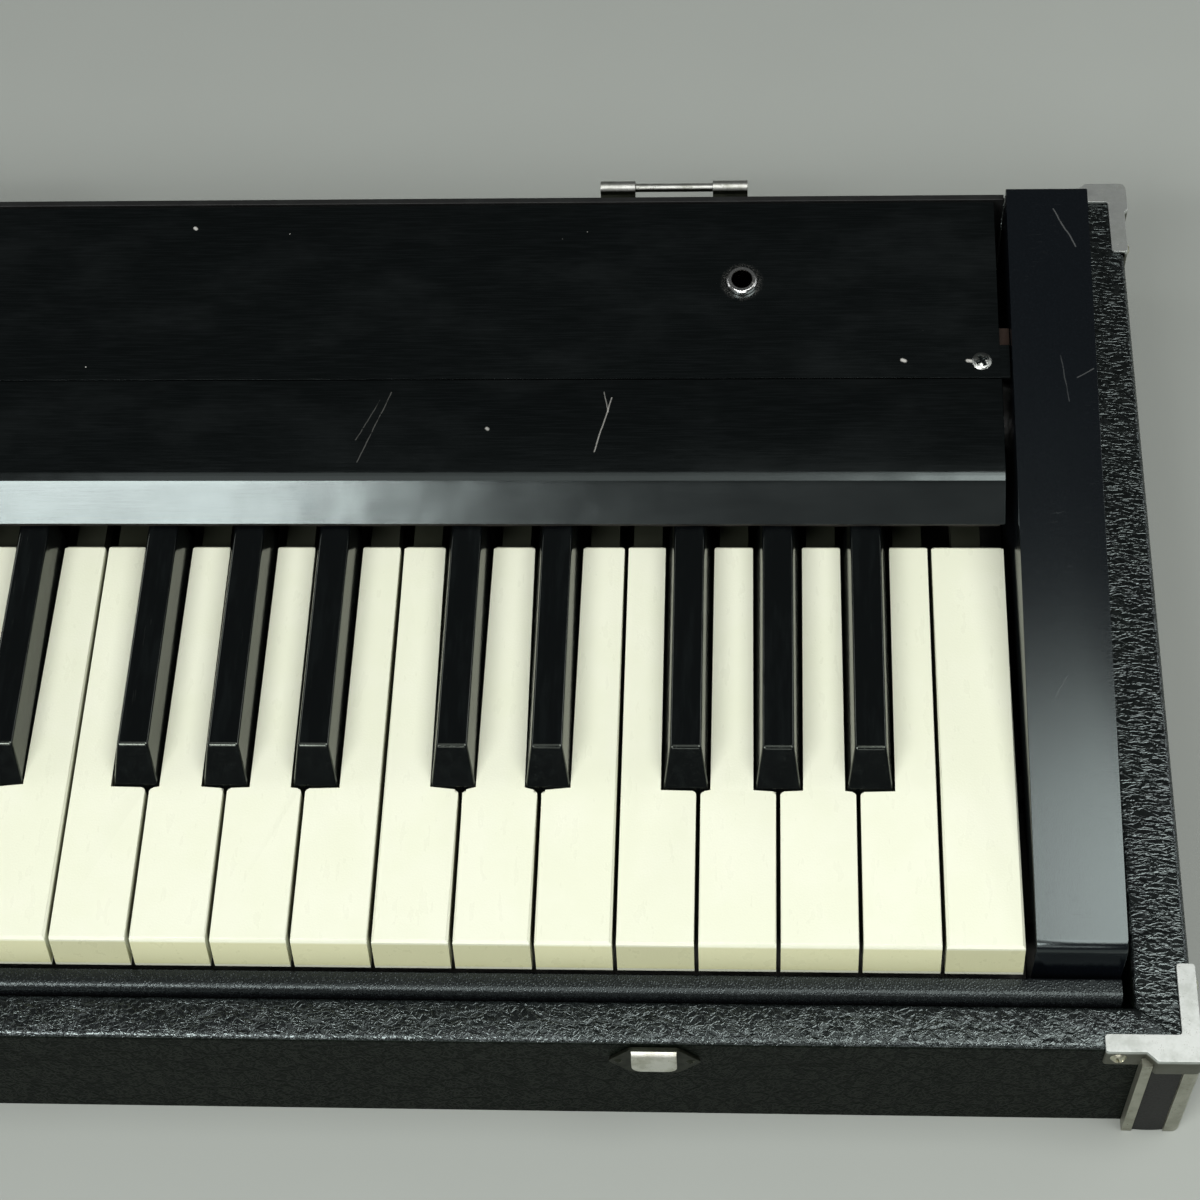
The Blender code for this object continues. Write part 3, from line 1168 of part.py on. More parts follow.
def build():
    clear_scene()
    materials = make_materials()
    add_keyboard(materials)
    add_case(materials)
    add_corner_guards(materials)
    add_case_fittings(materials)
    add_keyslip(materials)
    add_cheeks(materials)
    add_key_bed(materials)
    add_pivot_rail(materials)
    add_panel_nose(materials)
    add_panel_plate(materials)
    add_controls(materials)
    add_rear_panel(materials)
    add_power_inlet(materials)
    add_power_switch(materials)
    add_main_board(materials)
    add_transformer(materials)


build()
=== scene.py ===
import json
import math

import bmesh
import bpy
from mathutils import Matrix, Vector


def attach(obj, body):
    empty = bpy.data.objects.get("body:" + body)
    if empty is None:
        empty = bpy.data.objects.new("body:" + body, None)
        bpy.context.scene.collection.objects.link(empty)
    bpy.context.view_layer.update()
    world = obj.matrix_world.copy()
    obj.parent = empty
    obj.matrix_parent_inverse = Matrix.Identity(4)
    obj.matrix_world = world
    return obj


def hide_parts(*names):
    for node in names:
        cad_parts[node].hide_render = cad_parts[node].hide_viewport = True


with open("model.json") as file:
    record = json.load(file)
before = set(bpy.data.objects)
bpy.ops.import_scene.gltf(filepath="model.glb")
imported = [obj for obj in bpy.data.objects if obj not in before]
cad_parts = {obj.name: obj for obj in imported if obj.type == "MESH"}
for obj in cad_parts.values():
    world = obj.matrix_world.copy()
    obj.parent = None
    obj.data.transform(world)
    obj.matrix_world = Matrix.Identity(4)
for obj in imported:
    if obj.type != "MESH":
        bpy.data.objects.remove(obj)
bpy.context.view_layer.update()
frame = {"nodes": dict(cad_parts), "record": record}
nodes = frame["nodes"]

# Heights and edges of the part, in metres
keyFrontY = -0.13655
keyTopZ = 0.072
capEndY = -0.00055
rimZ = 0.055
caseFrontY = -0.15985
caseRearY = 0.15595
halfWidth = 0.2722
guardProud = 0.004
plateSlope = math.radians(8.0)
noseY = 0.01195
noseZ = 0.0945
lipY = -0.00095
lipZ = 0.0846
seamY = 0.04445
fittingX = {"right": 0.1176, "left": -0.1522}


def plateHeight(y):
    return noseZ + (y - noseY) * math.tan(plateSlope)


plateNormal = Vector((0.0, -math.sin(plateSlope), math.cos(plateSlope)))


def cheekHeight(y):
    return 0.0735 + (y + 0.13755) * (0.112 - 0.0735) / 0.248


# Shader maths

class Wire:
    def __init__(self, paint, socket, isVector):
        self.paint = paint
        self.socket = socket
        self.isVector = isVector

    def __add__(self, other):
        return self.paint.combine("ADD", self, other)

    def __radd__(self, other):
        return self.paint.combine("ADD", other, self)

    def __sub__(self, other):
        return self.paint.combine("SUBTRACT", self, other)

    def __rsub__(self, other):
        return self.paint.combine("SUBTRACT", other, self)

    def __mul__(self, other):
        return self.paint.combine("MULTIPLY", self, other)

    def __rmul__(self, other):
        return self.paint.combine("MULTIPLY", other, self)

    def __truediv__(self, other):
        return self.paint.combine("DIVIDE", self, other)

    def __rtruediv__(self, other):
        return self.paint.combine("DIVIDE", other, self)

    def __pow__(self, other):
        return self.paint.combine("POWER", self, other)

    def __gt__(self, other):
        return self.paint.combine("GREATER_THAN", self, other)

    def __lt__(self, other):
        return self.paint.combine("LESS_THAN", self, other)

    def __abs__(self):
        return self.paint.combine("ABSOLUTE", self, 0.0)


class Paint:
    def __init__(self, name):
        self.material = bpy.data.materials.new(name)
        self.material.use_nodes = True
        self.tree = self.material.node_tree
        self.tree.nodes.clear()
        self.place = self.node("ShaderNodeTexCoord", {}, {}, "Object", True)

    def node(self, kind, settings, inputs, output=0, isVector=False):
        made = self.tree.nodes.new(kind)
        for key, value in settings.items():
            setattr(made, key, value)
        for key, value in inputs.items():
            self.feed(made.inputs[key], value)
        return Wire(self, made.outputs[output], isVector)

    def feed(self, socket, value):
        if isinstance(value, Wire):
            self.tree.links.new(value.socket, socket)
        elif isinstance(value, tuple) and len(socket.default_value) == 4:
            socket.default_value = value + (1.0,)
        else:
            socket.default_value = value

    def combine(self, operation, first, second):
        vectors = [isinstance(v, tuple) or (isinstance(v, Wire) and v.isVector) for v in (first, second)]
        if not any(vectors):
            return self.node("ShaderNodeMath", {"operation": operation}, {0: first, 1: second})
        if not vectors[1] and operation == "MULTIPLY":
            return self.node("ShaderNodeVectorMath", {"operation": "SCALE"}, {0: first, 3: second}, 0, True)
        if not vectors[1] and not isinstance(second, Wire):
            second = (second, second, second)
        return self.node("ShaderNodeVectorMath", {"operation": operation}, {0: first, 1: second}, 0, True)

    def clampMath(self, operation, first, second):
        return self.node("ShaderNodeMath", {"operation": operation, "use_clamp": True}, {0: first, 1: second})

    def axes(self, vector=None):
        source = vector or self.place
        made = self.tree.nodes.new("ShaderNodeSeparateXYZ")
        self.feed(made.inputs[0], source)
        return [Wire(self, made.outputs[i], False) for i in range(3)]

    def noise(self, place, size, detail=3.0, roughness=0.55):
        return self.node("ShaderNodeTexNoise", {}, {"Vector": place, "Scale": 1 / size, "Detail": detail,
                                                    "Roughness": roughness}, "Fac")

    def wander(self, place, size, reach):
        shift = self.node("ShaderNodeTexNoise", {}, {"Vector": place, "Scale": 1 / size, "Detail": 2.0}, "Color", True)
        return place + (shift - 0.5) * reach

    def cells(self, place, size, feature="F1", output="Distance", isVector=False):
        return self.node("ShaderNodeTexVoronoi", {"feature": feature}, {"Vector": place, "Scale": 1 / size},
                         output, isVector)

    def step(self, value, low, high):
        return self.node("ShaderNodeMapRange", {"interpolation_type": "SMOOTHSTEP"},
                         {"Value": value, "From Min": low, "From Max": high})

    def mix(self, share, first, second):
        return self.node("ShaderNodeMix", {"data_type": "RGBA"}, {0: share, 6: first, 7: second}, 2, True)

    def nearLine(self, place, start, end):
        along = Vector(end) - Vector(start)
        offset = place - tuple(start)
        dot = self.node("ShaderNodeVectorMath", {"operation": "DOT_PRODUCT"}, {0: offset, 1: tuple(along)}, "Value")
        share = self.clampMath("MULTIPLY", dot, 1 / along.length_squared)
        nearest = self.node("ShaderNodeVectorMath", {"operation": "SCALE"}, {0: tuple(along), 3: share}, 0, True)
        return self.node("ShaderNodeVectorMath", {"operation": "LENGTH"}, {0: offset - nearest}, "Value")

    def marks(self, scratches, height):
        place = self.wander(self.place, 0.006, 0.0009)
        broken = self.step(self.noise(self.place, 0.0011, 2.0), 0.25, 0.4)
        total = 0.0
        for start, end, width, strength in scratches:
            points = [(x, y, height(y)) for x, y in (start, end)]
            reach = self.nearLine(place, *points)
            total = total + (1 - self.step(reach, width * 0.3, width)) * strength
        return self.clampMath("MULTIPLY", total, broken)

    def lengthOf(self, vector):
        return self.node("ShaderNodeVectorMath", {"operation": "LENGTH"}, {0: vector}, "Value")

    def bump(self, height, reach, under=None):
        inputs = {"Height": height, "Distance": reach, "Strength": 1.0}
        if under is not None:
            inputs["Normal"] = under
        return self.node("ShaderNodeBump", {}, inputs, "Normal", True)

    def surface(self, inputs):
        shader = self.node("ShaderNodeBsdfPrincipled", {}, inputs)
        out = self.tree.nodes.new("ShaderNodeOutputMaterial")
        self.tree.links.new(shader.socket, out.inputs["Surface"])
        return self.material


# Materials

coolGloss = (0.86, 1.0, 1.0)


def levantCloth(name, look):
    paint = Paint(name)
    bent = paint.wander(paint.wander(paint.place, look["bend"], look["bendReach"]), 0.0016, 0.0007)
    turned = paint.node("ShaderNodeVectorRotate", {"rotation_type": "Z_AXIS"},
                        {"Vector": bent, "Angle": look["turn"]}, 0, True)
    fold = paint.cells(turned * look["foldStretch"], look["fold"], "DISTANCE_TO_EDGE")
    crease = paint.step(fold, 0.0, look["crease"])
    edge = paint.cells(bent * look["stretch"], look["grain"], "DISTANCE_TO_EDGE")
    vein = 1 - paint.step(edge, 0.0, look["vein"])
    other = paint.cells(turned * look["stretch"], look["grain"] * 1.4, "DISTANCE_TO_EDGE")
    cross = 1 - paint.step(other, 0.0, look["vein"] * 0.7)
    patch = paint.noise(paint.place, 0.0025, 2.0)
    ridge = paint.clampMath("MAXIMUM", vein * paint.step(patch, 0.3, 0.5), cross * paint.step(patch, 0.7, 0.5))
    grit = paint.noise(paint.place, 0.0006, 2.0, 0.7)
    normal = paint.bump(ridge + crease * look["foldDepth"] + grit * look["grit"], look["depth"])
    cloud = paint.noise(paint.place, 0.01, 3.0)
    # Painted light: ridge crests are painted lighter as a painted sheen, and fold creases darker as painted shade.
    tone = paint.mix(ridge * crease, look["dark"], look["light"])
    tone = paint.mix(paint.step(cloud, 0.5, 0.75) * 0.5, tone, look["dust"])
    rough = look["rough"] + (1 - ridge * crease) * look["dull"] + grit * 0.06
    return paint.surface({"Base Color": tone, "Roughness": rough, "Normal": normal, "Specular IOR Level": look["gloss"],
                          "Specular Tint": coolGloss})


def pebbleSheet(name, look):
    paint = Paint(name)
    dot = paint.cells(paint.wander(paint.place, 0.002, 0.0003), look["grain"])
    dome = 1 - paint.step(dot, 0.1, 0.6)
    luck = paint.axes(paint.cells(paint.place, look["grain"], "F1", "Color", True))[0]
    patch = paint.noise(paint.place, 0.01, 3.0)
    tone = paint.mix(dome * luck, look["dark"], look["light"])
    rough = look["rough"] + (1 - dome) * 0.15 + patch * 0.06
    normal = paint.bump(dome * (0.5 + luck * 0.5), look["depth"])
    return paint.surface({"Base Color": tone, "Roughness": rough, "Normal": normal, "Specular IOR Level": look["gloss"],
                          "Specular Tint": coolGloss})


def satinPaint(name, look):
    paint = Paint(name)
    fine = paint.noise(paint.place, 0.00045, 2.0, 0.8)
    cloud = paint.noise(paint.place, 0.05, 1.5, 0.5)
    hair = paint.noise(paint.wander(paint.place, 0.03, 0.004) * (0.06, 1.0, 1.0), 0.0003, 1.0)
    hair = paint.step(hair, 0.7, 0.76) * paint.step(paint.noise(paint.place, 0.02, 2.0), 0.5, 0.62)
    marks = paint.marks(look["scratches"], look["slope"])
    tone = paint.mix(paint.step(fine, 0.45, 0.75), look["dark"], look["light"])
    tone = paint.mix(paint.clampMath("MAXIMUM", hair * 0.03, marks * 0.5), tone, look["scratch"])
    rough = look["rough"] + fine * 0.06 + hair * 0.05 + cloud * 0.05
    normal = paint.bump(fine + hair * 0.2, look["depth"])
    return paint.surface({"Base Color": tone, "Roughness": rough, "Normal": normal, "Specular IOR Level": 0.7,
                          "Specular Tint": coolGloss})


def brushedPanelPaint(name, look):
    paint = Paint(name)
    x, y, z = paint.axes()
    line = paint.noise(paint.place * (0.03, 1.0, 1.0), 0.0004, 2.0, 0.6)
    broad = paint.noise(paint.place * (0.5, 1.0, 1.0), 0.02, 4.0, 0.6)
    fine = paint.noise(paint.place, 0.0004, 2.0)
    dot = paint.cells(paint.wander(paint.place, 0.002, 0.0006), 0.011)
    luck = paint.noise(paint.place, 0.0143, 2.0)
    chip = (1 - paint.step(dot, 0.014, 0.03)) * paint.step(luck, 0.56, 0.6)
    marks = paint.marks(look["scratches"], plateHeight)
    centre = (look["jack"][0], look["jack"][1], plateHeight(look["jack"][1]))
    ring = paint.lengthOf(paint.wander(paint.place, 0.003, 0.0012) - centre)
    wear = paint.step(ring, 0.0044, 0.005) * (1 - paint.step(ring, 0.0056, 0.0072)) * paint.step(fine, 0.45, 0.7)
    worn = paint.clampMath("MAXIMUM", paint.clampMath("MAXIMUM", chip, marks), wear * 0.12)
    tone = paint.mix(paint.step(line, 0.4, 0.7), look["dark"], look["light"])
    tone = paint.mix(paint.step(broad, 0.45, 0.75) * 0.25, tone, look["dust"])
    tone = paint.mix(worn * 0.85, tone, look["chip"])
    onLug = paint.step(abs(x), look["end"] + 0.0001, look["end"] + 0.0004) * paint.step(y, 0.0562, 0.0566)
    tone = paint.mix(onLug, tone, look["bare"])
    # Painted sheen: the lip face forward of the nose is painted lighter with the dust colour.
    lip = paint.step(y, noseY - 0.0015, noseY - 0.004)
    tone = paint.mix(lip * 0.8, tone, look["dust"])
    rough = look["rough"] + line * 0.04 + broad * 0.06 + lip * broad * 0.07
    swell = paint.bump(paint.noise(paint.place, 0.02, 1.5, 0.5), 0.00018)
    normal = paint.bump(line * 0.6 + fine * 0.4 - worn, look["depth"], swell)
    return paint.surface({"Base Color": tone, "Roughness": rough, "Normal": normal, "Specular IOR Level": look["gloss"],
                          "Specular Tint": coolGloss})


def creamKey(name, look):
    paint = Paint(name)
    x, y, z = paint.axes()
    stain = paint.noise(paint.place, 0.02, 3.0)
    smear = paint.noise(paint.place * (1.0, 0.3, 1.0), 0.004, 3.0)
    tone = paint.mix(paint.step(stain, 0.35, 0.7), look["cream"], look["pale"])
    front = paint.step(y, keyFrontY + 0.0045, keyFrontY + 0.0012)
    # Painted shade: the key's front face is painted darker than the top with the front colour, and also yellower.
    tone = paint.mix(paint.step(y, keyFrontY, keyFrontY - 0.0003), tone, look["front"])
    # The lower part of the key front is painted darker and more olive towards the bottom; the lowest strip keeps the
    # cream colour.
    low = paint.step(z + stain * 0.003, keyTopZ - 0.007, keyTopZ - 0.0112)
    tone = paint.mix(front * low * 0.5, tone, look["grime"])
    # Painted shade: the key flanks below the top are painted dark with the side colour, for the shade in the gaps
    # between keys.
    flankShade = paint.step(z, keyTopZ - 0.0007, keyTopZ - 0.003)
    tone = paint.mix(flankShade * (1 - front) * 0.9, tone, look["side"])
    tone = paint.mix(paint.step(z, keyTopZ - 0.0109, keyTopZ - 0.0112) * front, tone, look["cream"])
    # Painted shade: behind the caps the key arms are painted near-black olive, for the shade under the panel lip.
    behind = paint.step(y, capEndY - 0.0002, capEndY + 0.0002)
    tone = paint.mix(behind, tone, look["arm"])
    rough = look["rough"] + smear * 0.14 + behind * 0.3
    normal = paint.bump(paint.noise(paint.place, 0.0007, 2.0) + smear * 0.4, look["depth"])
    return paint.surface({"Base Color": tone, "Roughness": rough, "Normal": normal, "Coat Weight": 0.2,
                          "Coat Roughness": 0.12})


def blackKey(name, look):
    paint = Paint(name)
    smear = paint.noise(paint.place * (1.0, 0.15, 1.0), 0.003, 4.0)
    hair = paint.noise(paint.place * (1.0, 0.02, 1.0), 0.0003, 1.0)
    hair = paint.step(hair, 0.68, 0.74)
    tone = paint.mix(paint.step(smear, 0.45, 0.7), look["dark"], look["light"])
    rough = look["rough"] + smear * 0.06 + hair * 0.06
    normal = paint.bump(paint.noise(paint.place, 0.0012, 2.0) + hair * 0.3, look["depth"])
    return paint.surface({"Base Color": tone, "Roughness": rough, "Normal": normal, "Specular IOR Level": 0.5,
                          "Specular Tint": (0.88, 1.0, 0.86), "Coat Weight": 0.2 - smear * 0.1, "Coat Roughness": 0.05})


def pittedMetal(name, look):
    paint = Paint(name)
    pit = paint.cells(paint.wander(paint.place, 0.0015, 0.0008), look["pit"])
    pits = (1 - paint.step(pit, 0.1, 0.28)) * paint.step(paint.noise(paint.place, 0.004, 3.0), 0.5, 0.64)
    cloud = paint.noise(paint.place, 0.007, 4.0, 0.65)
    brush = paint.noise(paint.place * look["stretch"], 0.0005, 2.0)
    tone = paint.mix(paint.step(cloud, 0.4, 0.7), look["bright"], look["dull"])
    tone = paint.mix(pits * 0.8, tone, look["rust"])
    # Painted shade: below the shade heights the tone turns to the darker under colour, for the shade on faces below the
    # rim.
    if "shade" in look:
        low = paint.step(paint.axes()[2], look["shade"][1], look["shade"][0])
        tone = paint.mix(low * 0.9, tone, look["under"])
    # Painted shade: inside the jack's bore the tone turns to the dark bore colour.
    if "hole" in look:
        centre, axis, radius = look["hole"]
        near = paint.nearLine(paint.place, centre - axis * 0.03, centre + axis * 0.01)
        tone = paint.mix(paint.step(near, radius + 0.0001, radius - 0.0001), tone, look["inside"])
    rough = look["rough"] + cloud * 0.22 + pits * 0.3 + brush * 0.08
    normal = paint.bump(brush * 0.3 - pits + cloud * 0.3, look["depth"])
    return paint.surface({"Base Color": tone, "Metallic": 1.0 - pits * 0.7, "Roughness": rough, "Normal": normal})


def plainSheet(name, look):
    paint = Paint(name)
    flake = paint.cells(paint.place, look["flake"], "F1", "Color", True)
    grey = paint.axes(flake)[0]
    cloud = paint.noise(paint.place, 0.02, 4.0)
    line = paint.noise(paint.place * look["stretch"], look["flake"] * 0.15, 2.0)
    tone = paint.mix(grey * 0.5 + cloud * 0.5, look["dark"], look["light"])
    rough = look["rough"] + grey * 0.1 + cloud * 0.15
    normal = paint.bump(line + grey * 0.2, look["depth"])
    return paint.surface({"Base Color": tone, "Metallic": look["metal"], "Roughness": rough, "Normal": normal})


def grainedPlastic(name, look):
    paint = Paint(name)
    grain = paint.cells(paint.place, look["grain"])
    cloud = paint.noise(paint.place, 0.01, 3.0)
    tone = paint.mix(paint.step(cloud, 0.4, 0.7), look["dark"], look["light"])
    rough = look["rough"] + grain * 0.12 + cloud * 0.08
    normal = paint.bump(grain + paint.noise(paint.place, look["grain"] * 0.5, 2.0) * 0.5, look["depth"])
    return paint.surface({"Base Color": tone, "Roughness": rough, "Normal": normal})


def woodBoard(name, look):
    paint = Paint(name)
    place = paint.wander(paint.place, 0.05, 0.01) * (0.06, 1.0, 1.0)
    grain = paint.noise(place, 0.003, 5.0, 0.7)
    ring = paint.noise(place, 0.012, 3.0)
    tone = paint.mix(paint.step(grain, 0.35, 0.65), look["dark"], look["light"])
    tone = paint.mix(paint.step(ring, 0.5, 0.75) * 0.5, tone, look["ring"])
    normal = paint.bump(grain, look["depth"])
    return paint.surface({"Base Color": tone, "Roughness": 0.55 + grain * 0.2, "Normal": normal})


def circuitBoard(name, look):
    paint = Paint(name)
    x, y, z = paint.axes()
    track = paint.cells(paint.place * (1.0, 1.0, 0.0), look["track"], "DISTANCE_TO_EDGE")
    lane = paint.step(track, 0.06, 0.12)
    tone = paint.mix(lane, look["copper"], look["green"])
    above = paint.step(z, look["top"] + 0.0001, look["top"] + 0.0004)
    tone = paint.mix(above, tone, look["part"])
    cloud = paint.noise(paint.place, 0.004, 3.0)
    normal = paint.bump(cloud * 0.4 + (1 - lane) * 0.6, look["depth"])
    return paint.surface({"Base Color": tone, "Roughness": 0.35 + cloud * 0.2, "Normal": normal})


coverLook = {"grain": 0.0016, "vein": 0.14, "depth": 0.00008, "bend": 0.006, "bendReach": 0.0025,
             "fold": 0.006, "foldStretch": (0.45, 1.0, 1.0), "turn": 0.25, "crease": 0.12, "foldDepth": 1.2,
             "dark": (0.0012, 0.0015, 0.0015), "light": (0.012, 0.014, 0.0138), "dust": (0.003, 0.0036, 0.0034),
             "rough": 0.08, "dull": 0.12, "gloss": 0.95, "grit": 0.12}
levantSide = levantCloth("levant_side", {**coverLook, "stretch": (0.27, 1.0, 1.0)})
levantFront = levantCloth("levant_front", {**coverLook, "stretch": (0.45, 1.0, 1.0), "turn": 0.6, "crease": 0.16,
                                           "grain": 0.0013, "vein": 0.13, "depth": 0.00006, "bendReach": 0.005,
                                           "foldDepth": 2.0})
# Painted shade: the upright wall faces get a copy of the cloth that is duller and painted darker and greener than the
# rim cloth, standing for the shade and floor-coloured light on the walls.
shadedWallCloth = levantCloth("levant_wall", {**coverLook, "stretch": (1.0, 1.0, 0.5), "depth": 0.00008, "rough": 0.45,
                                        "gloss": 0.08, "dark": (0.0012, 0.0022, 0.001),
                                        "light": (0.0065, 0.0095, 0.006), "foldStretch": (1.0, 1.0, 0.6),
                                        "dust": (0.002, 0.0032, 0.0016), "bendReach": 0.006})
pebbleVinyl = pebbleSheet("pebble_vinyl", {"grain": 0.0007, "dark": (0.002, 0.0022, 0.0028),
                                           "light": (0.013, 0.015, 0.0175), "rough": 0.15, "depth": 0.00008,
                                           "gloss": 0.54})
cheekPaint = satinPaint("cheek_satin", {
    "dark": (0.0022, 0.003, 0.0045), "light": (0.0045, 0.0057, 0.008), "scratch": (0.22, 0.23, 0.23),
    "rough": 0.15, "depth": 0.000025, "slope": cheekHeight,
    "scratches": [((0.241, 0.1026), (0.2477, 0.0891), 0.00032, 0.6), ((0.2413, 0.0503), (0.2431, 0.0347), 0.00026, 0.3),
                  ((0.2459, 0.0426), (0.2512, 0.0457), 0.00026, 0.5), ((0.2350, -0.062), (0.2385, -0.0555), 0.00026, 0.2)]})
panelLook = {
    "dark": (0.0014, 0.0019, 0.002), "light": (0.0032, 0.004, 0.0043), "dust": (0.012, 0.014, 0.0145),
    "chip": (0.5, 0.5, 0.47), "rough": 0.12, "gloss": 0.5, "depth": 0.00002, "jack": (0.142, 0.07895), "end": 0.2228,
    "bare": (0.03, 0.02, 0.016),
    "scratches": [((0.1015, 0.0377), (0.0964, 0.019), 0.0003, 0.5), ((0.099, 0.0398), (0.1004, 0.0328), 0.00026, 0.35),
                  ((0.032, 0.04), (0.0224, 0.0156), 0.00024, 0.13), ((0.0284, 0.0372), (0.0216, 0.0232), 0.00024, 0.1),
                  ((0.2126, 0.0505), (0.2137, 0.0504), 0.0008, 1.0), ((-0.0363, 0.1002), (-0.0359, 0.0999), 0.0008, 1.0),
                  ((0.1925, 0.0508), (0.1932, 0.0505), 0.0008, 1.0), ((0.0626, 0.0273), (0.063, 0.027), 0.0007, 0.7)]}
panelPaint = brushedPanelPaint("panel_brushed", panelLook)
lipPaint = brushedPanelPaint("lip_brushed", {**panelLook, "gloss": 0.64, "rough": 0.1})
creamPlastic = creamKey("cream_plastic", {
    "cream": (0.77, 0.795, 0.64), "pale": (0.79, 0.81, 0.67), "grime": (0.45, 0.44, 0.2),
    "front": (0.56, 0.565, 0.36), "side": (0.14, 0.14, 0.07), "arm": (0.012, 0.014, 0.007), "rough": 0.22, "depth": 0.00004})
blackGloss = blackKey("black_gloss", {"dark": (0.002, 0.0025, 0.003), "light": (0.0035, 0.0045, 0.005),
                                      "rough": 0.12, "depth": 0.00003})
chromeJack = pittedMetal("chrome_jack", {
    "bright": (0.85, 0.86, 0.86), "dull": (0.6, 0.6, 0.58), "rust": (0.1, 0.08, 0.06), "rough": 0.06,
    "pit": 0.0007, "depth": 0.00004, "stretch": (1.0, 1.0, 1.0), "inside": (0.03, 0.028, 0.024),
    "hole": (Vector((0.142, 0.07895, plateHeight(0.07895))), plateNormal, 0.0034)})
# Near-black steel for the hinge leaves, catch plates and small screws: its darkness is painted shade, on top of real
# pitting and rust.
agedShadedSteel = pittedMetal("aged_steel", {
    "bright": (0.034, 0.038, 0.028), "dull": (0.016, 0.018, 0.013), "rust": (0.02, 0.012, 0.007), "rough": 0.4,
    "pit": 0.0007, "depth": 0.00006, "stretch": (1.0, 1.0, 1.0)})
nickelPlate = pittedMetal("nickel_plate", {
    "bright": (0.62, 0.63, 0.6), "dull": (0.36, 0.37, 0.33), "rust": (0.09, 0.08, 0.05), "rough": 0.3,
    "pit": 0.0009, "depth": 0.0001, "stretch": (1.0, 1.0, 1.0)})
# The under colour is painted shade on the cap faces below the rim.
capMetal = pittedMetal("cap_metal", {
    "bright": (0.70, 0.73, 0.71), "dull": (0.55, 0.58, 0.55), "rust": (0.22, 0.2, 0.15), "rough": 0.36,
    "pit": 0.0005, "depth": 0.00004, "stretch": (1.0, 1.0, 1.0), "shade": (rimZ - 0.0012, rimZ + 0.0002),
    "under": (0.075, 0.075, 0.05)})
brassScrew = pittedMetal("brass_screw", {
    "bright": (0.66, 0.65, 0.52), "dull": (0.42, 0.41, 0.3), "rust": (0.14, 0.12, 0.07), "rough": 0.2,
    "pit": 0.0006, "depth": 0.00005, "stretch": (1.0, 1.0, 1.0)})
sparkSteel = pittedMetal("spark_steel", {
    "bright": (0.42, 0.44, 0.42), "dull": (0.12, 0.13, 0.12), "rust": (0.02, 0.02, 0.014), "rough": 0.16,
    "pit": 0.0009, "depth": 0.0004, "stretch": (1.0, 1.0, 1.0)})
edgingMetal = pittedMetal("edging_metal", {
    "bright": (0.42, 0.42, 0.35), "dull": (0.3, 0.3, 0.24), "rust": (0.12, 0.11, 0.08), "rough": 0.3,
    "pit": 0.0012, "depth": 0.00004, "stretch": (1.0, 1.0, 0.04)})
catchMetal = pittedMetal("catch_metal", {
    "bright": (0.72, 0.72, 0.66), "dull": (0.5, 0.5, 0.42), "rust": (0.1, 0.085, 0.04), "rough": 0.28,
    "pit": 0.0007, "depth": 0.00012, "stretch": (1.0, 1.0, 1.0)})
aluminium = plainSheet("aluminium_plain", {"dark": (0.5, 0.5, 0.5), "light": (0.68, 0.68, 0.68), "flake": 0.006,
                                           "stretch": (0.02, 1.0, 1.0), "rough": 0.3, "metal": 1.0, "depth": 0.00006})
zincSheet = plainSheet("zinc_sheet", {"dark": (0.06, 0.06, 0.055), "light": (0.11, 0.11, 0.1), "flake": 0.009,
                                      "stretch": (1.0, 1.0, 1.0), "rough": 0.35, "metal": 0.9, "depth": 0.00008})
coreSteel = plainSheet("core_steel", {"dark": (0.09, 0.085, 0.08), "light": (0.2, 0.19, 0.17), "flake": 0.004,
                                      "stretch": (0.03, 0.03, 1.0), "rough": 0.4, "metal": 0.8, "depth": 0.0002})
blackPlastic = grainedPlastic("black_plastic", {"dark": (0.009, 0.009, 0.01), "light": (0.02, 0.02, 0.021),
                                                "grain": 0.0008, "rough": 0.36, "depth": 0.00006})
insertVinyl = grainedPlastic("insert_vinyl", {"dark": (0.002, 0.0022, 0.0018), "light": (0.005, 0.0055, 0.0045),
                                              "grain": 0.0007, "rough": 0.62, "depth": 0.00003})
brownFelt = grainedPlastic("brown_felt", {"dark": (0.006, 0.005, 0.003), "light": (0.014, 0.011, 0.007),
                                          "grain": 0.0006, "rough": 0.8, "depth": 0.0002})
baseWood = woodBoard("base_wood", {"dark": (0.05, 0.035, 0.02), "light": (0.16, 0.11, 0.065),
                                   "ring": (0.09, 0.06, 0.035), "depth": 0.0002})
rearPaint = grainedPlastic("rear_paint", {"dark": (0.0016, 0.002, 0.002), "light": (0.004, 0.005, 0.0048),
                                          "grain": 0.0009, "rough": 0.5, "depth": 0.00002})
greenBoard = circuitBoard("green_board", {"green": (0.01, 0.07, 0.03), "copper": (0.05, 0.16, 0.07),
                                          "part": (0.015, 0.015, 0.016), "track": 0.006, "top": 0.0139,
                                          "depth": 0.0001})
print("materials made")


# Pieces that follow the frame

def shadeByAngle(mesh, degrees):
    mesh.shade_smooth()
    mesh.set_sharp_from_angle(angle=math.radians(degrees))


